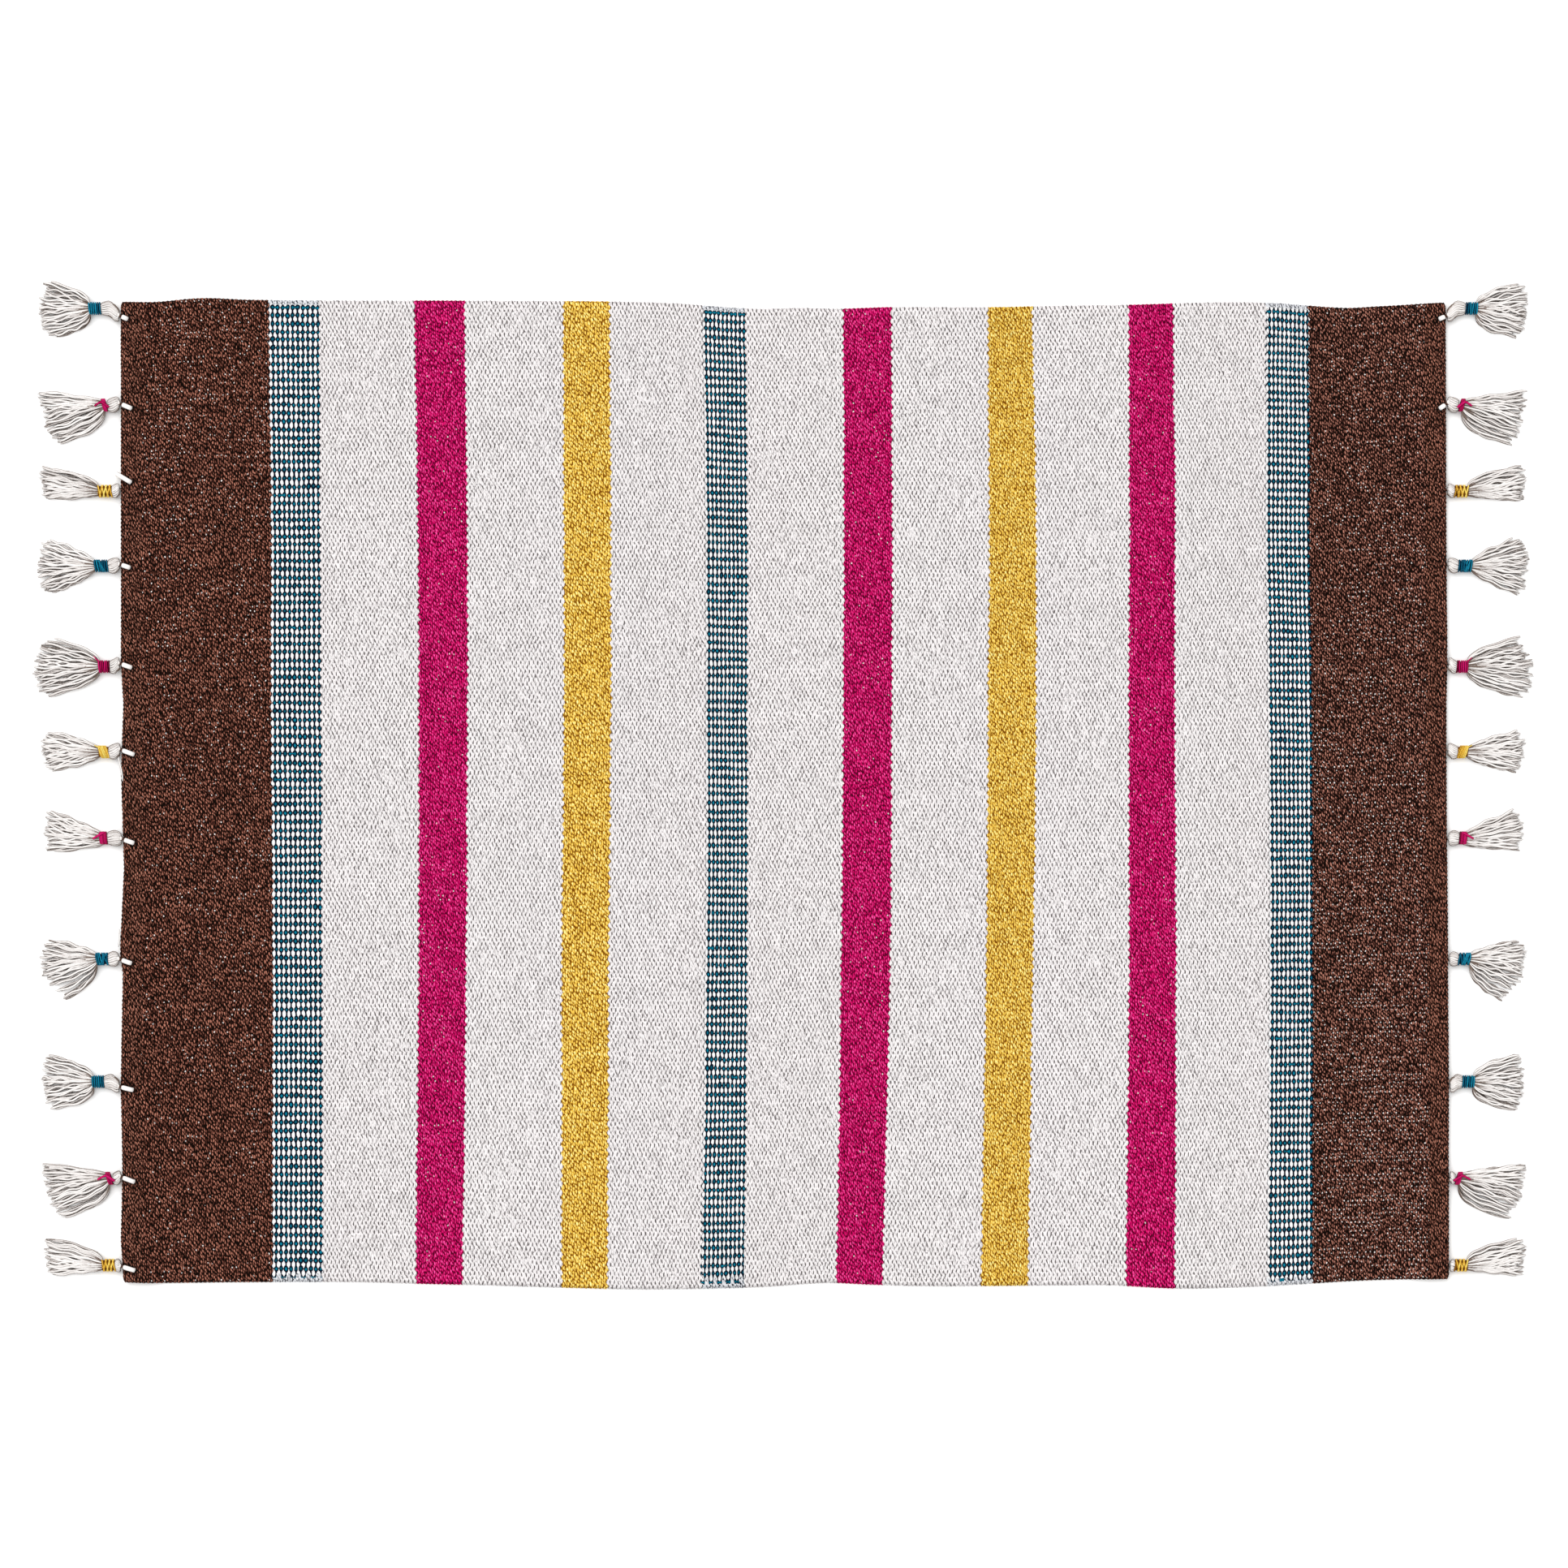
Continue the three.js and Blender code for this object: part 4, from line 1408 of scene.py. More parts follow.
    def maps(
        self, span: tuple[int, int], u: Field, v: Field, strip: tuple[float, float],
    ) -> dict[str, Field]:
        """The weave's map and the baking map for corners of faces.

        Args:
            span: the piece's first pick and the one after its last.
            u, v: the corners' places in the lattice.
            strip: left side and width of the strip of the baking map that they are laid in.

        Returns:
            The two maps by name.
        """
        low, high = span
        share = np.clip((u + 0.5 - low) / (high - low), 0, 1)
        bake = np.stack([strip[0] + strip[1] * share, (v + 0.5) / self.warps], -1)
        return {"weave": np.stack([u, v], -1), "OFBake": bake}

    def panel(self, name: str, material: bpy.types.Material) -> bpy.types.Object:
        """Builds one piece of the cloth, closed all round.

        Args:
            name: of the piece.
            material: of the cloth.

        Returns:
            The piece.
        """
        low, high = self.span(name)
        shell = Shell()
        corner_u, corner_v = np.arange(low, high + 1) - 0.5, np.arange(self.warps + 1) - 0.5
        grids = []
        for us, vs in ((corner_u, corner_v), (corner_u[:-1] + 0.5, corner_v[:-1] + 0.5)):
            u, v = np.meshgrid(us, vs, indexing="ij")
            points = self.face(u + 0.5, v)
            grids.append((shell.add_points(points, press=self.cord_shade(points)), u, v))
        fans = [(quads(corner), centre) for corner, centre in zip(*grids)]
        for k in range(4):
            faces, u, v = (
                np.stack([corner[..., k], corner[..., (k + 1) % 4], centre], -1).reshape(-1, 3)
                for corner, centre in fans
            )
            shell.add_faces(faces, **self.maps((low, high), u, v, self.face_strip))
        self.add_back(shell, (low, high), grids[0][0], corner_u, corner_v)
        return shell.build(name, material)

    def add_back(
        self, shell: Shell, span: tuple[int, int], corners: Field, corner_u: Field, corner_v: Field,
    ) -> None:
        """Adds a piece's underside, and the walls that join it to the face.

        Args:
            shell: the piece so far.
            span: the piece's first pick and the one after its last.
            corners: numbers of the face's corner vertices.
            corner_u, corner_v: their picks and warps.
        """
        us, vs = (
            np.unique(np.append(line[:-1:self.back_step], line[-1])) for line in (corner_u, corner_v)
        )
        drawn_in = vs.copy()
        drawn_in[[0, -1]] += (self.selvedge, -self.selvedge)
        u, v = np.meshgrid(us + 0.5, drawn_in, indexing="ij")
        back = shell.add_points(self.lay(u, v, -self.thick_at(u, v), sway=False), press=0.0)
        faces, u, v = (
            quads(grid)[..., [0, 3, 2, 1]].reshape(-1, 4)
            for grid in (back, *np.meshgrid(us, vs, indexing="ij"))
        )
        shell.add_faces(faces, **self.maps(span, u, v, self.back_strip))
        sides = [(corners[:, k], corner_u, back[:, k], us, corner_v[k], k == 0) for k in (0, -1)]
        ends = [(corners[k], corner_v, back[k], vs, corner_u[k], k == -1) for k in (0, -1)]
        for k, (upper, upper_at, lower, lower_at, edge, turned) in enumerate(sides + ends):
            is_side = k < len(sides)
            faces, at, below = zipped(upper, upper_at, lower, lower_at, turned)
            fixed = np.full_like(at, edge)
            weave = np.stack((at, fixed) if is_side else (fixed, at), -1)
            length = (at - upper_at[0]) / (upper_at[-1] - upper_at[0])
            strip = self.wall_left + self.wall_step * k + self.wall_wide * below
            shell.add_faces(faces, flat=not is_side, weave=weave, OFBake=np.stack([strip, length], -1))

    def flat_size(self, name: str) -> tuple[float, float]:
        """Measures a piece flat, with its hem unfolded.

        Args:
            name: of the piece.

        Returns:
            Its size in metres, across the rug and along it.
        """
        low, high = self.span(name)
        line = self.lay(np.linspace(low, high, 4 * (high - low)), self.warps / 2, 0.0, sway=False)
        edges = self.lay((low + high) / 2, np.array([-0.5, self.warps - 0.5]), 0.0, sway=False)
        length = np.linalg.norm(np.diff(line, axis=0), axis=1).sum()
        return float(np.ptp(edges[:, 1])) * METRES, float(length) * METRES

    def build(self) -> list[bpy.types.Object]:
        """Builds and dresses all of the cloth.

        Returns:
            Its pieces, from left to right.
        """
        material = WeaveFinish(warps=self.warps).material()
        pieces = []
        for name in PANELS:
            piece = ride(self.panel(name, material), "woven_cloth", RUG_NODE)
            self.flat_size(name)
            pieces.append(piece)
        return pieces


def travelled(path: Field) -> Field:
    """How far along a path each of its points is."""
    return np.concatenate([[0], np.cumsum(np.linalg.norm(np.diff(path, axis=0), axis=1))])


def curve(points: list[Field], steps: int) -> Field:
    """A smooth curve through points.

    Args:
        points: the points, in order.
        steps: number of points of the curve.

    Returns:
        Its points, evenly along it.
    """
    points = np.asarray(points, float)
    at = travelled(points)
    places = np.linspace(0, at[-1], steps)
    return np.stack([through(at, points[:, k], places) for k in range(3)], -1)


@dataclass(frozen=True)
class Strip:
    """An upright strip of a piece's baking map.

    Args:
        left: its left side, from 0 to 1.
        wide: its width.
        margin: left free at each side of a yarn, as a share of the yarn's own part of the strip.
        end_margin: left free at each end of a yarn, as a share of its length.
    """

    left: float
    wide: float
    margin: float = 0.04
    end_margin: float = 0.01

    def part(self, k: int, count: int) -> "Strip":
        """One of its equal parts."""
        low, high = (self.left + self.wide * n / count for n in (k, k + 1))
        return Strip(low, high - low)

    def lay(self, around: Field, along: Field) -> Field:
        """Places in the map, by shares of the way around a yarn and along it."""
        around = self.margin + (1 - 2 * self.margin) * around
        along = self.end_margin + (1 - 2 * self.end_margin) * along
        return np.stack([self.left + self.wide * around, along], -1)

    def lay_cap(self, sides: int, high: bool) -> Field:
        """Places in the map for the corners of a yarn's low or high end, in a line in its margin."""
        across = self.left + self.wide * np.linspace(0.1, 0.9, sides)
        return np.stack([across, np.full(sides, 0.998 if high else 0.002)], -1)[None]


@dataclass
class Tube:
    """A length of yarn, as a tube around a path.

    Args:
        path: points of its middle, in millimetres.
        radius: at each of them, half its width where it is flat.
        sides: number of them.
        strip: its place in the baking map.
        deep: its tag, all over or at each point of the path.
        strand: its other tag.
        flat: its thickness as a share of its width.
    """

    path: Field
    radius: Field | float
    sides: int
    strip: Strip
    deep: Field | float = 0.0
    strand: float = 0.5
    flat: float = 1.0

    def add_to(self, shell: Shell) -> None:
        """Adds it to a piece, closed by a cap at each end.

        Args:
            shell: the piece.
        """
        steps = len(self.path)
        ahead = np.gradient(self.path, axis=0)
        ahead /= np.linalg.norm(ahead, axis=1)[:, None]
        side = np.cross(ahead, [0, 0, 1.0])
        weak = np.linalg.norm(side, axis=1) < 0.2
        side[weak] = np.cross(ahead[weak], [0, 1.0, 0]) if weak.all() else side[~weak].mean(0)
        side /= np.linalg.norm(side, axis=1)[:, None]
        top = np.cross(side, ahead)
        radius = np.broadcast_to(np.asarray(self.radius, float), (steps,))[:, None, None]
        deep = np.broadcast_to(np.asarray(self.deep, float), (steps,))[:, None]
        points = self.path[:, None] + radius * self.section(side, self.flat * top)
        rows = shell.add_points(points, deep=deep, strand=self.strand)
        self.add_skin(shell, rows)
        for high, cap, at in ((False, rows[0][::-1], 0.0), (True, rows[-1], travelled(self.path)[-1])):
            places = np.tile([0.5, at], (1, self.sides, 1))
            shell.add_faces(cap[None], yarn=places, OFBake=self.strip.lay_cap(self.sides, high))

    def close_around(self, shell: Shell) -> None:
        """Adds it to a piece as a ring around X, the last point of its path on the first.

        Args:
            shell: the piece.
        """
        out = self.path[:-1] - self.path[:-1].mean(0)
        out[:, 0] = 0
        out /= np.linalg.norm(out, axis=1)[:, None]
        along_x = np.array([1.0, 0, 0])
        section = self.section(np.broadcast_to(along_x, out.shape), out)
        points = self.path[:-1, None] + self.radius * section
        rows = shell.add_points(points, deep=self.deep, strand=self.strand)
        turned = np.cross(self.path[1] - self.path[0], out[0]) @ along_x > 0
        self.add_skin(shell, np.vstack([rows, rows[:1]]), turned)

    def section(self, side: Field, top: Field) -> Field:
        """Its section at each point of the path, from underneath and around.

        Args:
            side: the way to its side at each point.
            top: the way up there, as long as its thickness is of its width.

        Returns:
            Points around the middle, for a radius of 1.
        """
        angle = math.tau * np.arange(self.sides)[None, :, None] / self.sides
        return side[:, None] * np.sin(angle) - top[:, None] * np.cos(angle)

    def add_skin(self, shell: Shell, rows: Field, turned: bool = False) -> None:
        """Adds the faces between the rows of vertices around it.

        Args:
            shell: the piece.
            rows: the vertices' numbers, a row for each point of the path.
            turned: whether the faces are the other way round.
        """
        sides, length = self.sides, travelled(self.path)
        after = np.roll(rows, -1, axis=1)
        faces = np.stack([rows[:-1], after[:-1], after[1:], rows[1:]], -1)
        edges = np.stack([np.arange(sides), np.arange(sides) + 1]) / sides
        around = np.broadcast_to(edges[[0, 1, 1, 0]].T, faces.shape)
        pair = np.stack([length[:-1], length[:-1], length[1:], length[1:]], -1)
        along = np.broadcast_to(pair[:, None], faces.shape)
        order = slice(None, None, -1 if turned else 1)
        faces, around, along = (grid.reshape(-1, 4)[:, order] for grid in (faces, around, along))
        bake = self.strip.lay(around, along / length[-1])
        shell.add_faces(faces, yarn=np.stack([around, along], -1), OFBake=bake)


@dataclass
class Tassel:
    """A tassel: a hank of cotton yarn, bound at its neck and hung on a cord through the hem."""

    end: End
    index: int
    axis_height: float = 4.0
    neck_radius: float = 3.0
    neck_overlap: float = 1.2      # by which the strands begin inside the binding's outer end
    open_start: float = 0.35       # share of the way along an open binding where they begin
    strands: int = 60
    strand_steps: int = 18
    strand_sides: int = 5
    strand_radius: float = 0.66
    strand_sizes: tuple[float, float] = (0.9, 1.08)     # from the thinnest to the thickest
    spread: float = 0.018          # unevenness of the strands' places, as a share of half the skirt
    reach: tuple[float, float] = (0.90, 1.02)           # of the strands, the shortest and longest
    wave: tuple[float, float] = (0.3, 0.95)             # how far they wave aside
    wave_turns: tuple[float, float] = (1.6, 3.4)
    drift: float = 0.7             # of their ends aside
    sunk: tuple[float, float] = (0.3, 0.8)              # under the neck's surface
    shadow: float = 1.2            # of every few strands, where they leave the binding
    bound_radius: float = 0.34     # of a strand where it is bound
    cut_radius: float = 0.72       # of a strand's cut end, as a share
    loops: int = 17
    loop_steps: int = 9
    loop_sizes: tuple[float, float] = (0.6, 0.78)       # radius of the thinnest and thickest
    loop_spread: float = 0.2       # unevenness of the loops' places, in loops
    loop_twist: float = 0.5        # of a loop around the head, in radians
    core_radius: float = 1.6       # of the head's core at its tip
    core_depth: float = 0.8        # of the core under the head's sides
    fibres: int = 46
    fibre_radii: tuple[float, float, float] = (0.14, 0.12, 0.05)
    fibre_lengths: tuple[float, float] = (1.2, 3.0)
    fibre_bend: float = 0.45
    fibre_root: float = 0.8        # inside the strand's end
    fibre_scatter: float = 0.2
    head_gap: float = 0.45
    shortest_head: float = 1.6
    full_head: float = 6.0
    cord_width: float = 3.0
    cord_thick: float = 1.4
    cord_slack: float = 1.2
    cord_bend: float = 1.3
    cord_lift: float = 0.3         # of the cord off the fold
    cord_root: tuple[float, float] = (1.6, 1.3)         # in the head: out from the fold, and up
    cord_steps: int = 18
    loose_radii: tuple[float, ...] = (0.3, *(0.55,) * 6, 0.3)
    skirt_strip: Strip = Strip(0.0, 0.8)
    core_strip: Strip = Strip(0.8, 0.01)
    loop_strip: Strip = Strip(0.81, 0.09)
    cord_strip: Strip = Strip(0.90, 0.03)
    loose_strip: Strip = Strip(0.93, 0.01)
    fibre_strip: Strip = Strip(0.94, 0.06)
    hem: Hem = field(default_factory=Hem)

    def __post_init__(self) -> None:
        """Works out its places along its axis."""
        self.row = TASSELS[self.index]
        self.label = f"{self.end.name.lower()}_{self.index + 1:02d}"
        self.rng = np.random.default_rng([SEED, self.index, self.end is End.LEFT])
        self.tips: list[tuple[Field, Field]] = []
        facing = fold_at(self.end, self.row.stitch.y + np.array([-1, 0, 1]) * self.neck_radius)
        self.tip = float(facing.max()) + self.head_gap
        moved = max(self.tip + self.shortest_head - self.row.inner, 0)
        self.inner, self.outer = self.row.inner + moved, self.row.outer + moved
        self.open_neck = self.row.wrap in (Wrap.CROSSED, Wrap.POINTED)

    def place(self, points: Field) -> Field:
        """Turns points, X out from the rug's middle, to this tassel's end."""
        return np.asarray(points, float) * [self.end.value, 1, 1]

    def strand_line(self, across: float, share: Field) -> tuple[Field, Field]:
        """Where a strand of the skirt runs.

        Args:
            across: its place across the skirt, from -1, near, to 1, far.
            share: how far along it.

        Returns:
            How far out from the binding, and how far aside of the axis.
        """
        form = self.row.skirt.value
        ends = np.array([form.near, form.low, form.mid, form.high, form.far], float)
        places = np.linspace(-1, 1, len(ends))
        out, aside = (float(through(places, ends[:, k], across)) for k in (0, 1))
        early = abs(across) * lerp(form.flare_near, form.flare_far, (across + 1) / 2)
        start = across * self.neck_radius * 0.93
        stations = np.array([
            (0.0, start),
            (lerp(0.33, -0.10, early) * out, lerp(start, aside * 0.62, early)),
            (lerp(0.66, 0.35, early) * out, lerp(lerp(start, aside, 0.45), aside * 0.86, early)),
            (out, aside),
        ])
        rest = 1 - share
        weights = np.stack([rest**3, 3 * rest**2 * share, 3 * rest * share**2, share**3])
        return tuple(stations.T @ weights)

    def add_skirt(self, shell: Shell) -> None:
        """Adds the loose strands: an upper and a lower lot, each strand wavy in its own way.

        Args:
            shell: the piece so far.
        """
        rng, count, thin = self.rng, self.strands, self.strand_radius
        share = np.linspace(0, 1, self.strand_steps) ** 0.9
        half = through(*zip(*SKIRT_SECTIONS), share)
        start, stretch = self.outer - self.neck_overlap, 1.0
        if self.open_neck:
            start = lerp(self.inner, self.outer, self.open_start)
            stretch = 1 + (self.outer - self.neck_overlap - start) / self.row.skirt.value.mid[0]
        for k in range(count):
            layer = (k % 3) / 2                           # 0 lies on the surface, 1 on top
            across = -1 + 2 * (k + 0.5) / count + rng.normal(0, self.spread)
            across = float(np.clip(across, -1, 1))
            reach = rng.uniform(*self.reach)
            out, aside = self.strand_line(across, share * reach)
            wave = rng.uniform(*self.wave) * smoothstep(0.1, 0.7, share)
            turns, phase = rng.uniform(*self.wave_turns), rng.uniform(0, math.tau)
            aside = aside + wave * np.sin(math.tau * turns * share + phase)
            aside = aside + rng.normal(0, self.drift) * share
            bulge = math.sqrt(max(1 - across**2, 0))
            sunk = rng.uniform(*self.sunk)
            neck_z = self.axis_height + (layer * 2 - 1) * bulge * (self.neck_radius - sunk)
            lying = lerp(thin + 0.05, 2 * half - thin, layer * 0.95)
            height = lerp(neck_z, lying, smoothstep(0, 0.45, share))
            height = height + 0.25 * wave * np.sin(math.tau * turns * share + 2 * phase)
            height = np.clip(height, thin + 0.02, 2 * half + 0.4)
            path = np.stack([start + out * stretch, self.row.y + aside, height], -1)
            thick = thin * rng.uniform(*self.strand_sizes) * lerp(0.85, 1.12, layer)
            radius = lerp(self.bound_radius, thick, smoothstep(0.02, 0.3, share))
            radius = radius * np.where(share > 0.97, self.cut_radius, 1.0)
            # Painted shade on the lower strands, and a painted shadow on every few where they leave the
            # binding
            shade = self.shadow if k // 3 % 4 == k % 2 else 0.0
            Tube(
                self.place(path), radius, self.strand_sides, self.skirt_strip.part(k, count),
                deep=0.7 * (1 - layer) + shade * smoothstep(0.55, 0.05, share), strand=rng.uniform(),
            ).add_to(shell)
            self.tips.append((path[-1], path[-1] - path[-2]))

    def add_fibres(self, shell: Shell) -> None:
        """Adds fine fibres that fray from the strands' ends.

        Args:
            shell: the piece so far.
        """
        rng = self.rng
        for k in range(self.fibres):
            tip, way = self.tips[rng.integers(len(self.tips))]
            way = way / np.linalg.norm(way)
            bent = way + rng.normal(0, self.fibre_bend, 3) * [1, 1, 0.4]
            length = rng.uniform(*self.fibre_lengths)
            start = tip - way * self.fibre_root + rng.normal(0, self.fibre_scatter, 3)
            middle = start + way * length * 0.4
            path = np.array([start, middle, middle + bent * length * 0.6])
            path[:, 2] = np.clip(path[:, 2], 0.2, None)
            strip = self.fibre_strip.part(k, self.fibres)
            Tube(self.place(path), self.fibre_radii, 3, strip, strand=0.9).add_to(shell)

    def head_size(self, along: Field) -> tuple[Field, Field]:
        """The head's section, between that of a short head and that of a full one.

        Args:
            along: share of the way from its tip to the binding.

        Returns:
            Half its width and half its height.
        """
        full = np.clip((self.inner - self.tip) / self.full_head, 0, 1)
        at, short_width, short_height, full_width, full_height = np.array(HEAD_SECTIONS).T
        wide, high = lerp(short_width, full_width, full), lerp(short_height, full_height, full)
        return through(at, wide, along), through(at, high, along)

    def add_head(self, shell: Shell) -> None:
        """Adds the looped head: the yarn's loops, and a full core that they lie along.

        Args:
            shell: the piece so far.
        """
        rng, count = self.rng, self.loops
        along = np.linspace(0, 1, self.loop_steps) ** 1.3
        wide, high = self.head_size(along)
        x = lerp(self.tip + 0.2, self.inner + 0.8, along)
        y = lerp(self.row.stitch.y, self.row.y, smoothstep(0, 0.55, along))
        for k in range(count):
            size = rng.uniform(*self.loop_sizes)
            around = k + rng.uniform(-self.loop_spread, self.loop_spread)
            angle = math.tau * around / count + self.loop_twist * (along - 0.5)
            aside, rise = (wide - size) * np.cos(angle), (high - size) * np.sin(angle)
            path = np.stack([x, y + aside, np.maximum(self.axis_height + rise, size + 0.05)], -1)
            # Painted shade, the darker the lower a loop lies on the head
            deep = 0.45 * (1 - math.sin(angle[self.loop_steps // 2]))
            strip = self.loop_strip.part(k, count)
            Tube(self.place(path), size, 5, strip, deep=deep, strand=rng.uniform()).add_to(shell)
        # The core, a little darkened with painted shade
        path = np.stack([x, y, np.full_like(x, self.axis_height)], -1)
        radius = np.append(self.core_radius, wide[1:] - self.core_depth)
        Tube(self.place(path), radius, 10, self.core_strip, deep=0.3, flat=0.85).add_to(shell)

    def cord_route(self, half: CordHalf) -> Field:
        """The middle of one half of the hanging cord: out of the head, loosely around the fold
        and down or up into the hem. One that isn't rooted in the head comes from under the fold.

        Args:
            half: the half of the cord.

        Returns:
            Points, X out from the rug's middle.
        """
        radius = self.hem.radius
        fold_height = self.hem.underside + radius
        level = radius + self.cord_lift + self.cord_thick / 2
        slack, bend = self.cord_slack, self.cord_bend

        def spot(back: float, rise: float) -> list[float]:
            """A point by its set back from the fold and its rise from the fold's middle."""
            return [-back, 0.0, fold_height + half.side * rise]

        def around(degrees: float) -> list[float]:
            """A point on the way around the fold."""
            angle = math.radians(degrees)
            return spot(radius - (level + slack) * math.cos(angle), level * math.sin(angle))

        def dive(degrees: float) -> list[float]:
            """A point of the bend into the hem."""
            angle = math.radians(degrees)
            back = half.depth - bend * (1 - math.sin(angle))
            return spot(back, level - bend * (1 - math.cos(angle)))

        root_out, root_up = self.cord_root
        start = [spot(-root_out, root_up)]
        if not half.rooted:
            start = [around(a) for a in (-100, -80, -45, 0)]
        stop = [] if half.stops else [spot(half.depth, -0.3)]
        route = start + [around(a) for a in (45, 68, 90)] + [dive(a) for a in (0, 45, 90)] + stop
        path = curve(route, self.cord_steps)
        path[:, 1] = half.y - half.drift * path[:, 0] / half.depth
        path[:, 0] += fold_at(self.end, half.y)
        return path

    def add_cord(self, shell: Shell) -> None:
        """Adds the flat hanging cord, over the hem and under it, and any loose yarn beside it.

        Args:
            shell: the piece so far.
        """
        for half in CordHalf.of(self.end, self.index):
            path = self.cord_route(half)
            past = path[:, 0] - fold_at(self.end, half.y)
            # Painted shade on the cord between the head and the fold; the rest a little lighter
            outside = half.rooted * smoothstep(-1.8, -1.2, past) * smoothstep(0.3, -0.3, past)
            width = self.cord_width / 2 * (1 - 0.45 * outside)
            Tube(
                self.place(path), width, 10, self.cord_strip.part(1 + half.side, 3),
                deep=2.2 * outside - 0.35, strand=1.0, flat=self.cord_thick / self.cord_width,
            ).add_to(shell)
        for loose in LOOSE_YARN:
            if (loose.end, loose.index) == (self.end, self.index):
                path = self.place(curve(loose.points, len(self.loose_radii)))
                Tube(path, self.loose_radii, 5, self.loose_strip, deep=-0.1, strand=0.6).add_to(shell)

    def build(self, material: bpy.types.Material) -> bpy.types.Object:
        """Builds and dresses the tassel in its yarn.

        Args:
            material: of the yarn.

        Returns:
            The piece.
        """
        shell = Shell()
        for add in (self.add_skirt, self.add_fibres, self.add_head, self.add_cord):
            add(shell)
        piece = shell.build(f"yarn_{self.label}", material)
        return ride(piece, Yarn.COTTON.value.slot, f"tassel_{self.label}")


@dataclass
class Binding:
    """The coloured thread wound around a tassel's neck."""

    tassel: Tassel
    radius: float = 3.46           # of a turn, at its middle
    thread: float = 0.6            # half the thread's thickness
    open_thread: float = 0.72      # half its thickness around an open neck
    sides: int = 5
    steps: int = 22
    over_rise: float = 0.35        # of a turn that lies wholly over the others
    cross_at: tuple[float, float] = (0.25, 0.75)        # along the binding
    cross_slant: tuple[float, float] = (-0.4, 0.4)
    cross_over: float = 0.35
    uneven: float = 0.03           # of the turns' radius
    core_depth: float = 0.28       # of the core under the turns' middle
    core_sides: int = 16
    tail_radius: float = 0.5
    open_tail_radius: float = 1.0  # of a loose end at an open neck
    tail_sides: int = 6
    tail_steps: int = 10
    turn_strip: Strip = Strip(0.0, 0.9)
    core_strip: Strip = Strip(0.9, 0.02)
    tail_strip: Strip = Strip(0.92, 0.06)

    def turns(self) -> list[Turn]:
        """Lays out the turns of this binding's way of winding.

        Returns:
            The turns, in the order in which they are wound.
        """
        rng, form = self.tassel.rng, self.tassel.row.wrap.value
        turns = []
        for k in range(form.turns):
            slant = rng.normal(form.slant, form.slip) if form.slip else form.slant
            back = k % 2 if form.over else 0
            turns.append(Turn(form.first + form.step * k, slant * (1 - 2 * back), form.over * back))
        for _ in range(form.crossing):
            at, slant = rng.uniform(*self.cross_at), rng.uniform(*self.cross_slant)
            turns.append(Turn(at, slant, self.cross_over))
        return turns

    def tail(self) -> list[Field]:
        """Lays out the loose end of this way of winding, if it has one.

        Returns:
            Its points, X out from the rug's middle.
        """
        tassel = self.tassel
        points = TAILS.get(tassel.row.wrap, ())
        if not points and tassel.row.yarn is Yarn.MAGENTA:
            points = MAGENTA_TAIL
        length, top = tassel.outer - tassel.inner, tassel.axis_height + self.radius
        return [(tassel.inner + length * at, tassel.row.y + y, top + z) for at, y, z in points]

    def build(self, material: bpy.types.Material) -> bpy.types.Object:
        """Builds and dresses the binding in its thread.

        Args:
            material: of the thread.

        Returns:
            The piece.
        """
        tassel, shell = self.tassel, Shell()
        rng, is_open = tassel.rng, tassel.open_neck
        inner, length = tassel.inner + self.thread, tassel.outer - tassel.inner - 2 * self.thread
        angle = np.linspace(0, math.tau, self.steps)
        turns = self.turns()
        for k, turn in enumerate(turns):
            reach = self.radius + turn.over * self.over_rise * smoothstep(0.2, 0.9, np.sin(angle))
            reach = reach + rng.normal(0, self.uneven)
            x = inner + length * np.clip(turn.at + turn.slant * np.cos(angle + 0.05), 0, 1)
            path = np.stack([
                x, tassel.row.y + reach * np.cos(angle),
                np.maximum(tassel.axis_height + reach * np.sin(angle), self.thread + 0.08),
            ], -1)
            # Painted shade on the turns nearest the head, and some turns darker at random
            shade = 0.5 * float(smoothstep(0.35, 0.0, turn.at)) + rng.choice((0.0, 0.45))
            Tube(
                tassel.place(path), self.open_thread if is_open else self.thread, self.sides,
                self.turn_strip.part(k, len(turns)), deep=shade, strand=rng.uniform(),
            ).close_around(shell)
        if not is_open:
            # A core under the turns, in painted shade where it shows between them
            core = [(inner + length * at, tassel.row.y, tassel.axis_height) for at in (0.02, 0.5, 0.98)]
            radius = self.radius - self.core_depth
            Tube(tassel.place(core), radius, self.core_sides, self.core_strip, deep=1.0).add_to(shell)
        tail = self.tail()
        if tail:
            path = tassel.place(curve(tail, self.tail_steps))
            radius = self.open_tail_radius if is_open else self.tail_radius
            radius = radius * np.linspace(1, 0.7, self.tail_steps)
            Tube(path, radius, self.tail_sides, self.tail_strip, strand=rng.uniform()).add_to(shell)
        piece = shell.build(f"thread_{tassel.label}", material)
        return ride(piece, tassel.row.yarn.value.slot, f"binding_{tassel.label}")


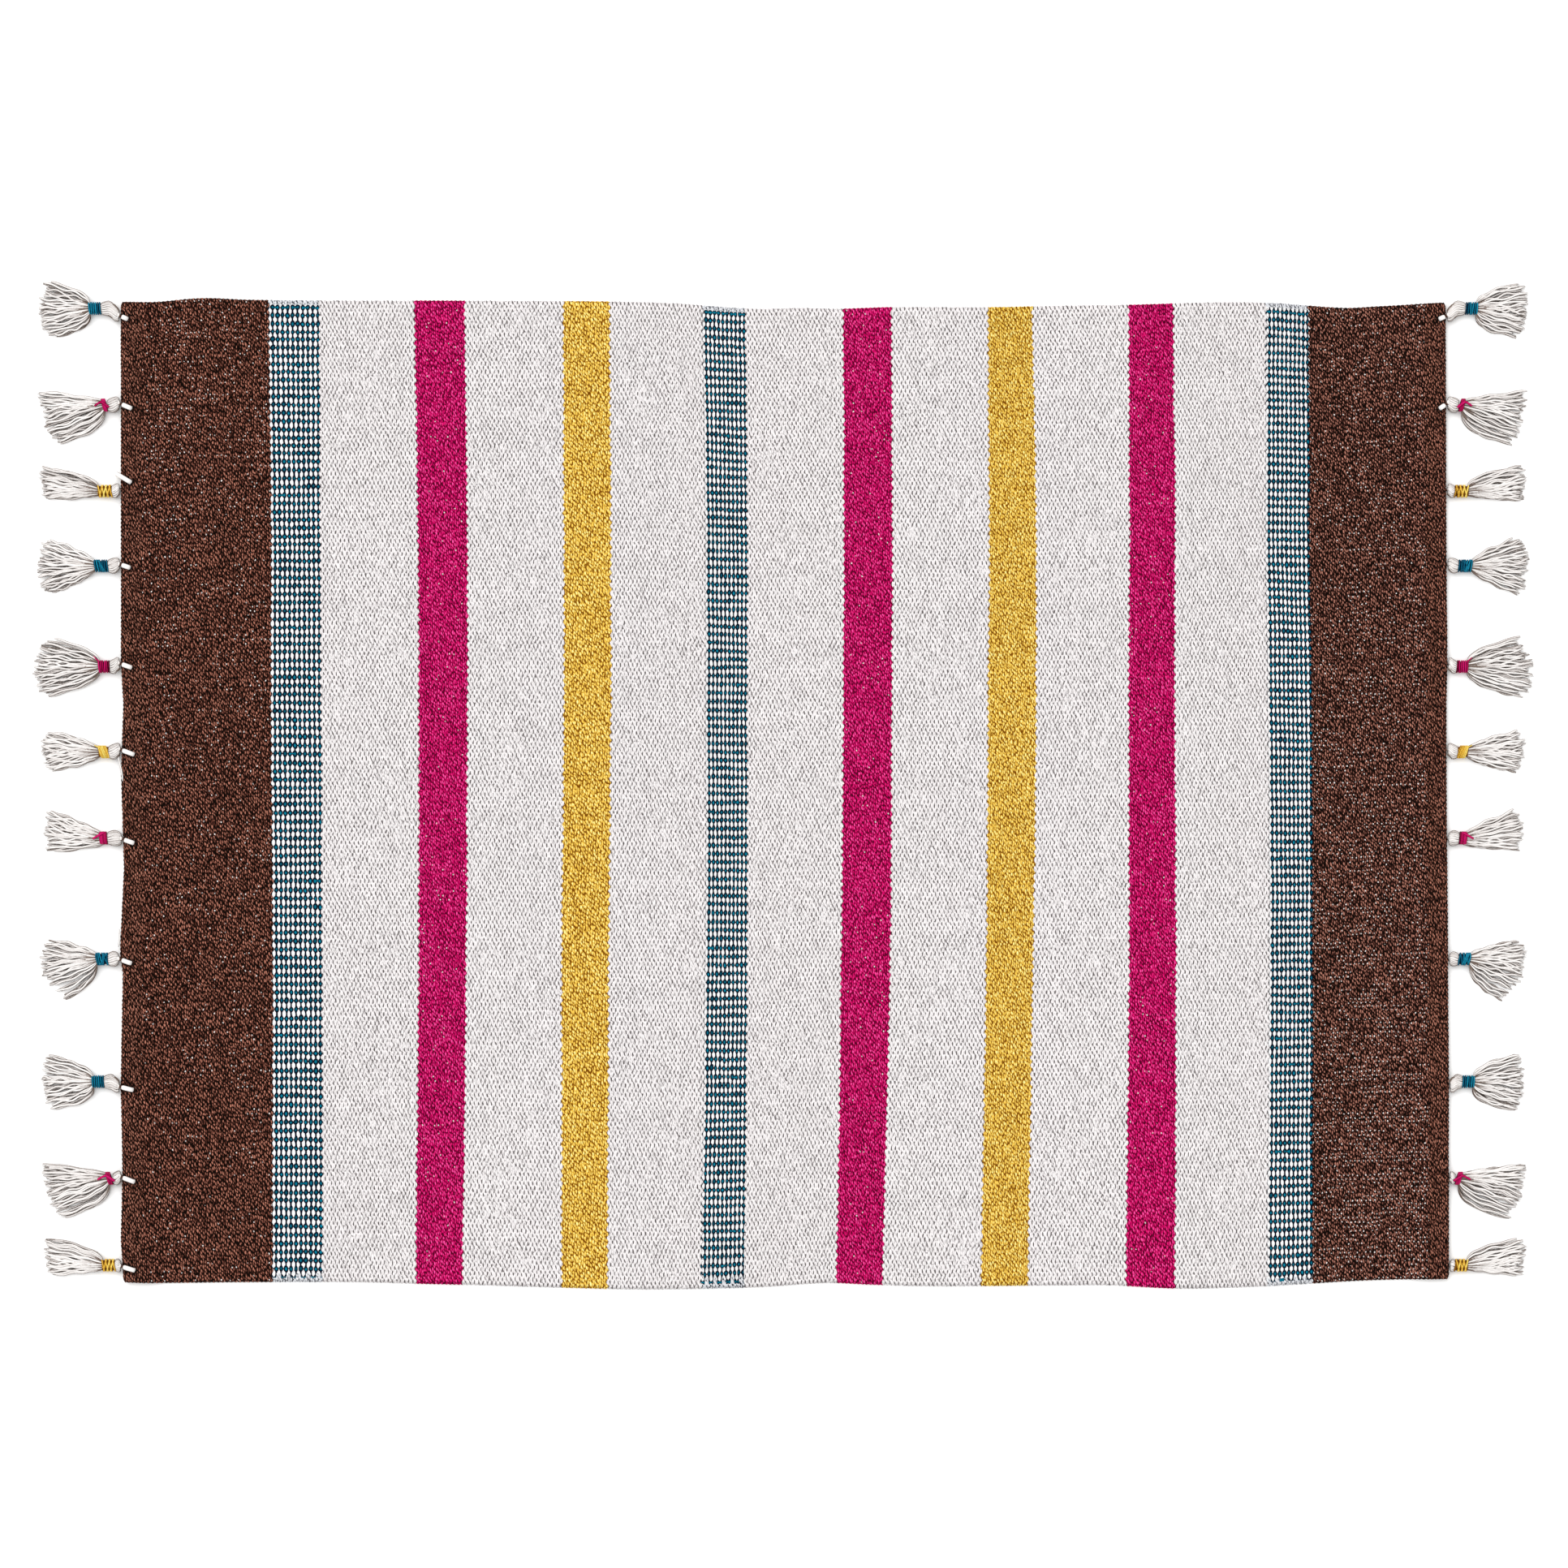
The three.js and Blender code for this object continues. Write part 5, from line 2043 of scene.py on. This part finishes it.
@dataclass
class Studio:
    """The plain pale floor, the soft light and the camera straight above."""

    aim: tuple[float, float] = (0.5, 0.75)
    frame_width: float = 966.0
    lens: float = 200.0
    sensor: float = 36.0
    floor_side: float = 8000.0
    floor_level: float = -0.02
    floor_greys: tuple[float, float] = (0.97, 0.99)
    surround: tuple[float, float, float, float] = (1.0, 0.995, 0.985, 1)
    surround_strength: float = 0.98
    lamp_strength: float = 1.7
    lamp_angle: float = 50.0       # in degrees: how broad the light is
    lamp_from: tuple[float, float, float] = (-0.35, 0.45, 1.0)

    def add_camera(self) -> None:
        """Adds the camera, looking straight down on the middle of the view."""
        data = bpy.data.cameras.new("camera")
        data.lens, data.sensor_width = self.lens, self.sensor
        data.clip_start, data.clip_end = 0.1, 100.0
        camera = bpy.data.objects.new("camera", data)
        height = self.frame_width * self.lens / self.sensor
        camera.location = Vector((*self.aim, height)) * METRES
        bpy.context.scene.collection.objects.link(camera)
        bpy.context.scene.camera = camera

    def add_floor(self) -> None:
        """Adds the floor, with a faint grain."""
        half = self.floor_side / 2
        shell = Shell()
        corners = ((-half, -half), (half, -half), (half, half), (-half, half))
        numbers = shell.add_points([(x, y, self.floor_level) for x, y in corners])
        shell.add_faces(numbers[None])
        g = Graph("floor")
        x, y, _ = g.split(g.out("TexCoord", at="Object"))
        grain = g.noise(x, y, 3.0, 2.0)
        dark, light = ((grey, grey, grey, 1) for grey in self.floor_greys)
        g.dress(g.mix(grain, dark, light), 0.85 + grain * 0.1, grain, 0.0002)
        shell.build("floor", g.material)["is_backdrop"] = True

    def add_light(self) -> None:
        """Adds an even pale surround and one broad soft light from the upper left."""
        world = bpy.data.worlds.new("surround")
        world.use_nodes = True
        back = world.node_tree.nodes["Background"]
        back.inputs["Color"].default_value = self.surround
        back.inputs["Strength"].default_value = self.surround_strength
        bpy.context.scene.world = world
        data = bpy.data.lights.new("softbox", "SUN")
        data.energy, data.angle = self.lamp_strength, math.radians(self.lamp_angle)
        lamp = bpy.data.objects.new("softbox", data)
        lamp.rotation_euler = Vector(self.lamp_from).to_track_quat("Z", "Y").to_euler()
        bpy.context.scene.collection.objects.link(lamp)

    def build(self) -> None:
        """Sets up the studio."""
        scene = bpy.context.scene
        scene.view_settings.view_transform = "Standard"
        scene.view_settings.look = "None"
        self.add_camera()
        self.add_floor()
        self.add_light()


def write_sizes() -> None:
    """Turns the CAD box and the visual model's box into plain lists, and keeps neither."""
    boxes = {"cad": CAD_BOX, "visual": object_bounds()}
    {name: [list(corner) for corner in box] for name, box in boxes.items()}


def report(piece: bpy.types.Object) -> int:
    """Logs a piece's size.

    Args:
        piece: the piece.

    Returns:
        Its number of triangles.
    """
    triangles = sum(len(face.vertices) - 2 for face in piece.data.polygons)
    LOG.info("%s: %d triangles", piece.name, triangles)
    return triangles


def main() -> None:
    """Builds the studio, the cloth, and each tassel with its binding."""
    logging.basicConfig(level=logging.INFO, format="%(name)s: %(message)s")
    Studio().build()
    total = sum(report(piece) for piece in Cloth().build())
    finishes = {yarn: ThreadFinish(yarn).material() for yarn in Yarn}
    for end in End:
        for index, row in enumerate(TASSELS):
            tassel = Tassel(end, index)
            total += report(tassel.build(finishes[Yarn.COTTON]))
            total += report(Binding(tassel).build(finishes[row.yarn]))
    LOG.info("whole rug: %d triangles", total)
    write_sizes()


if __name__ == "__main__":
    main()
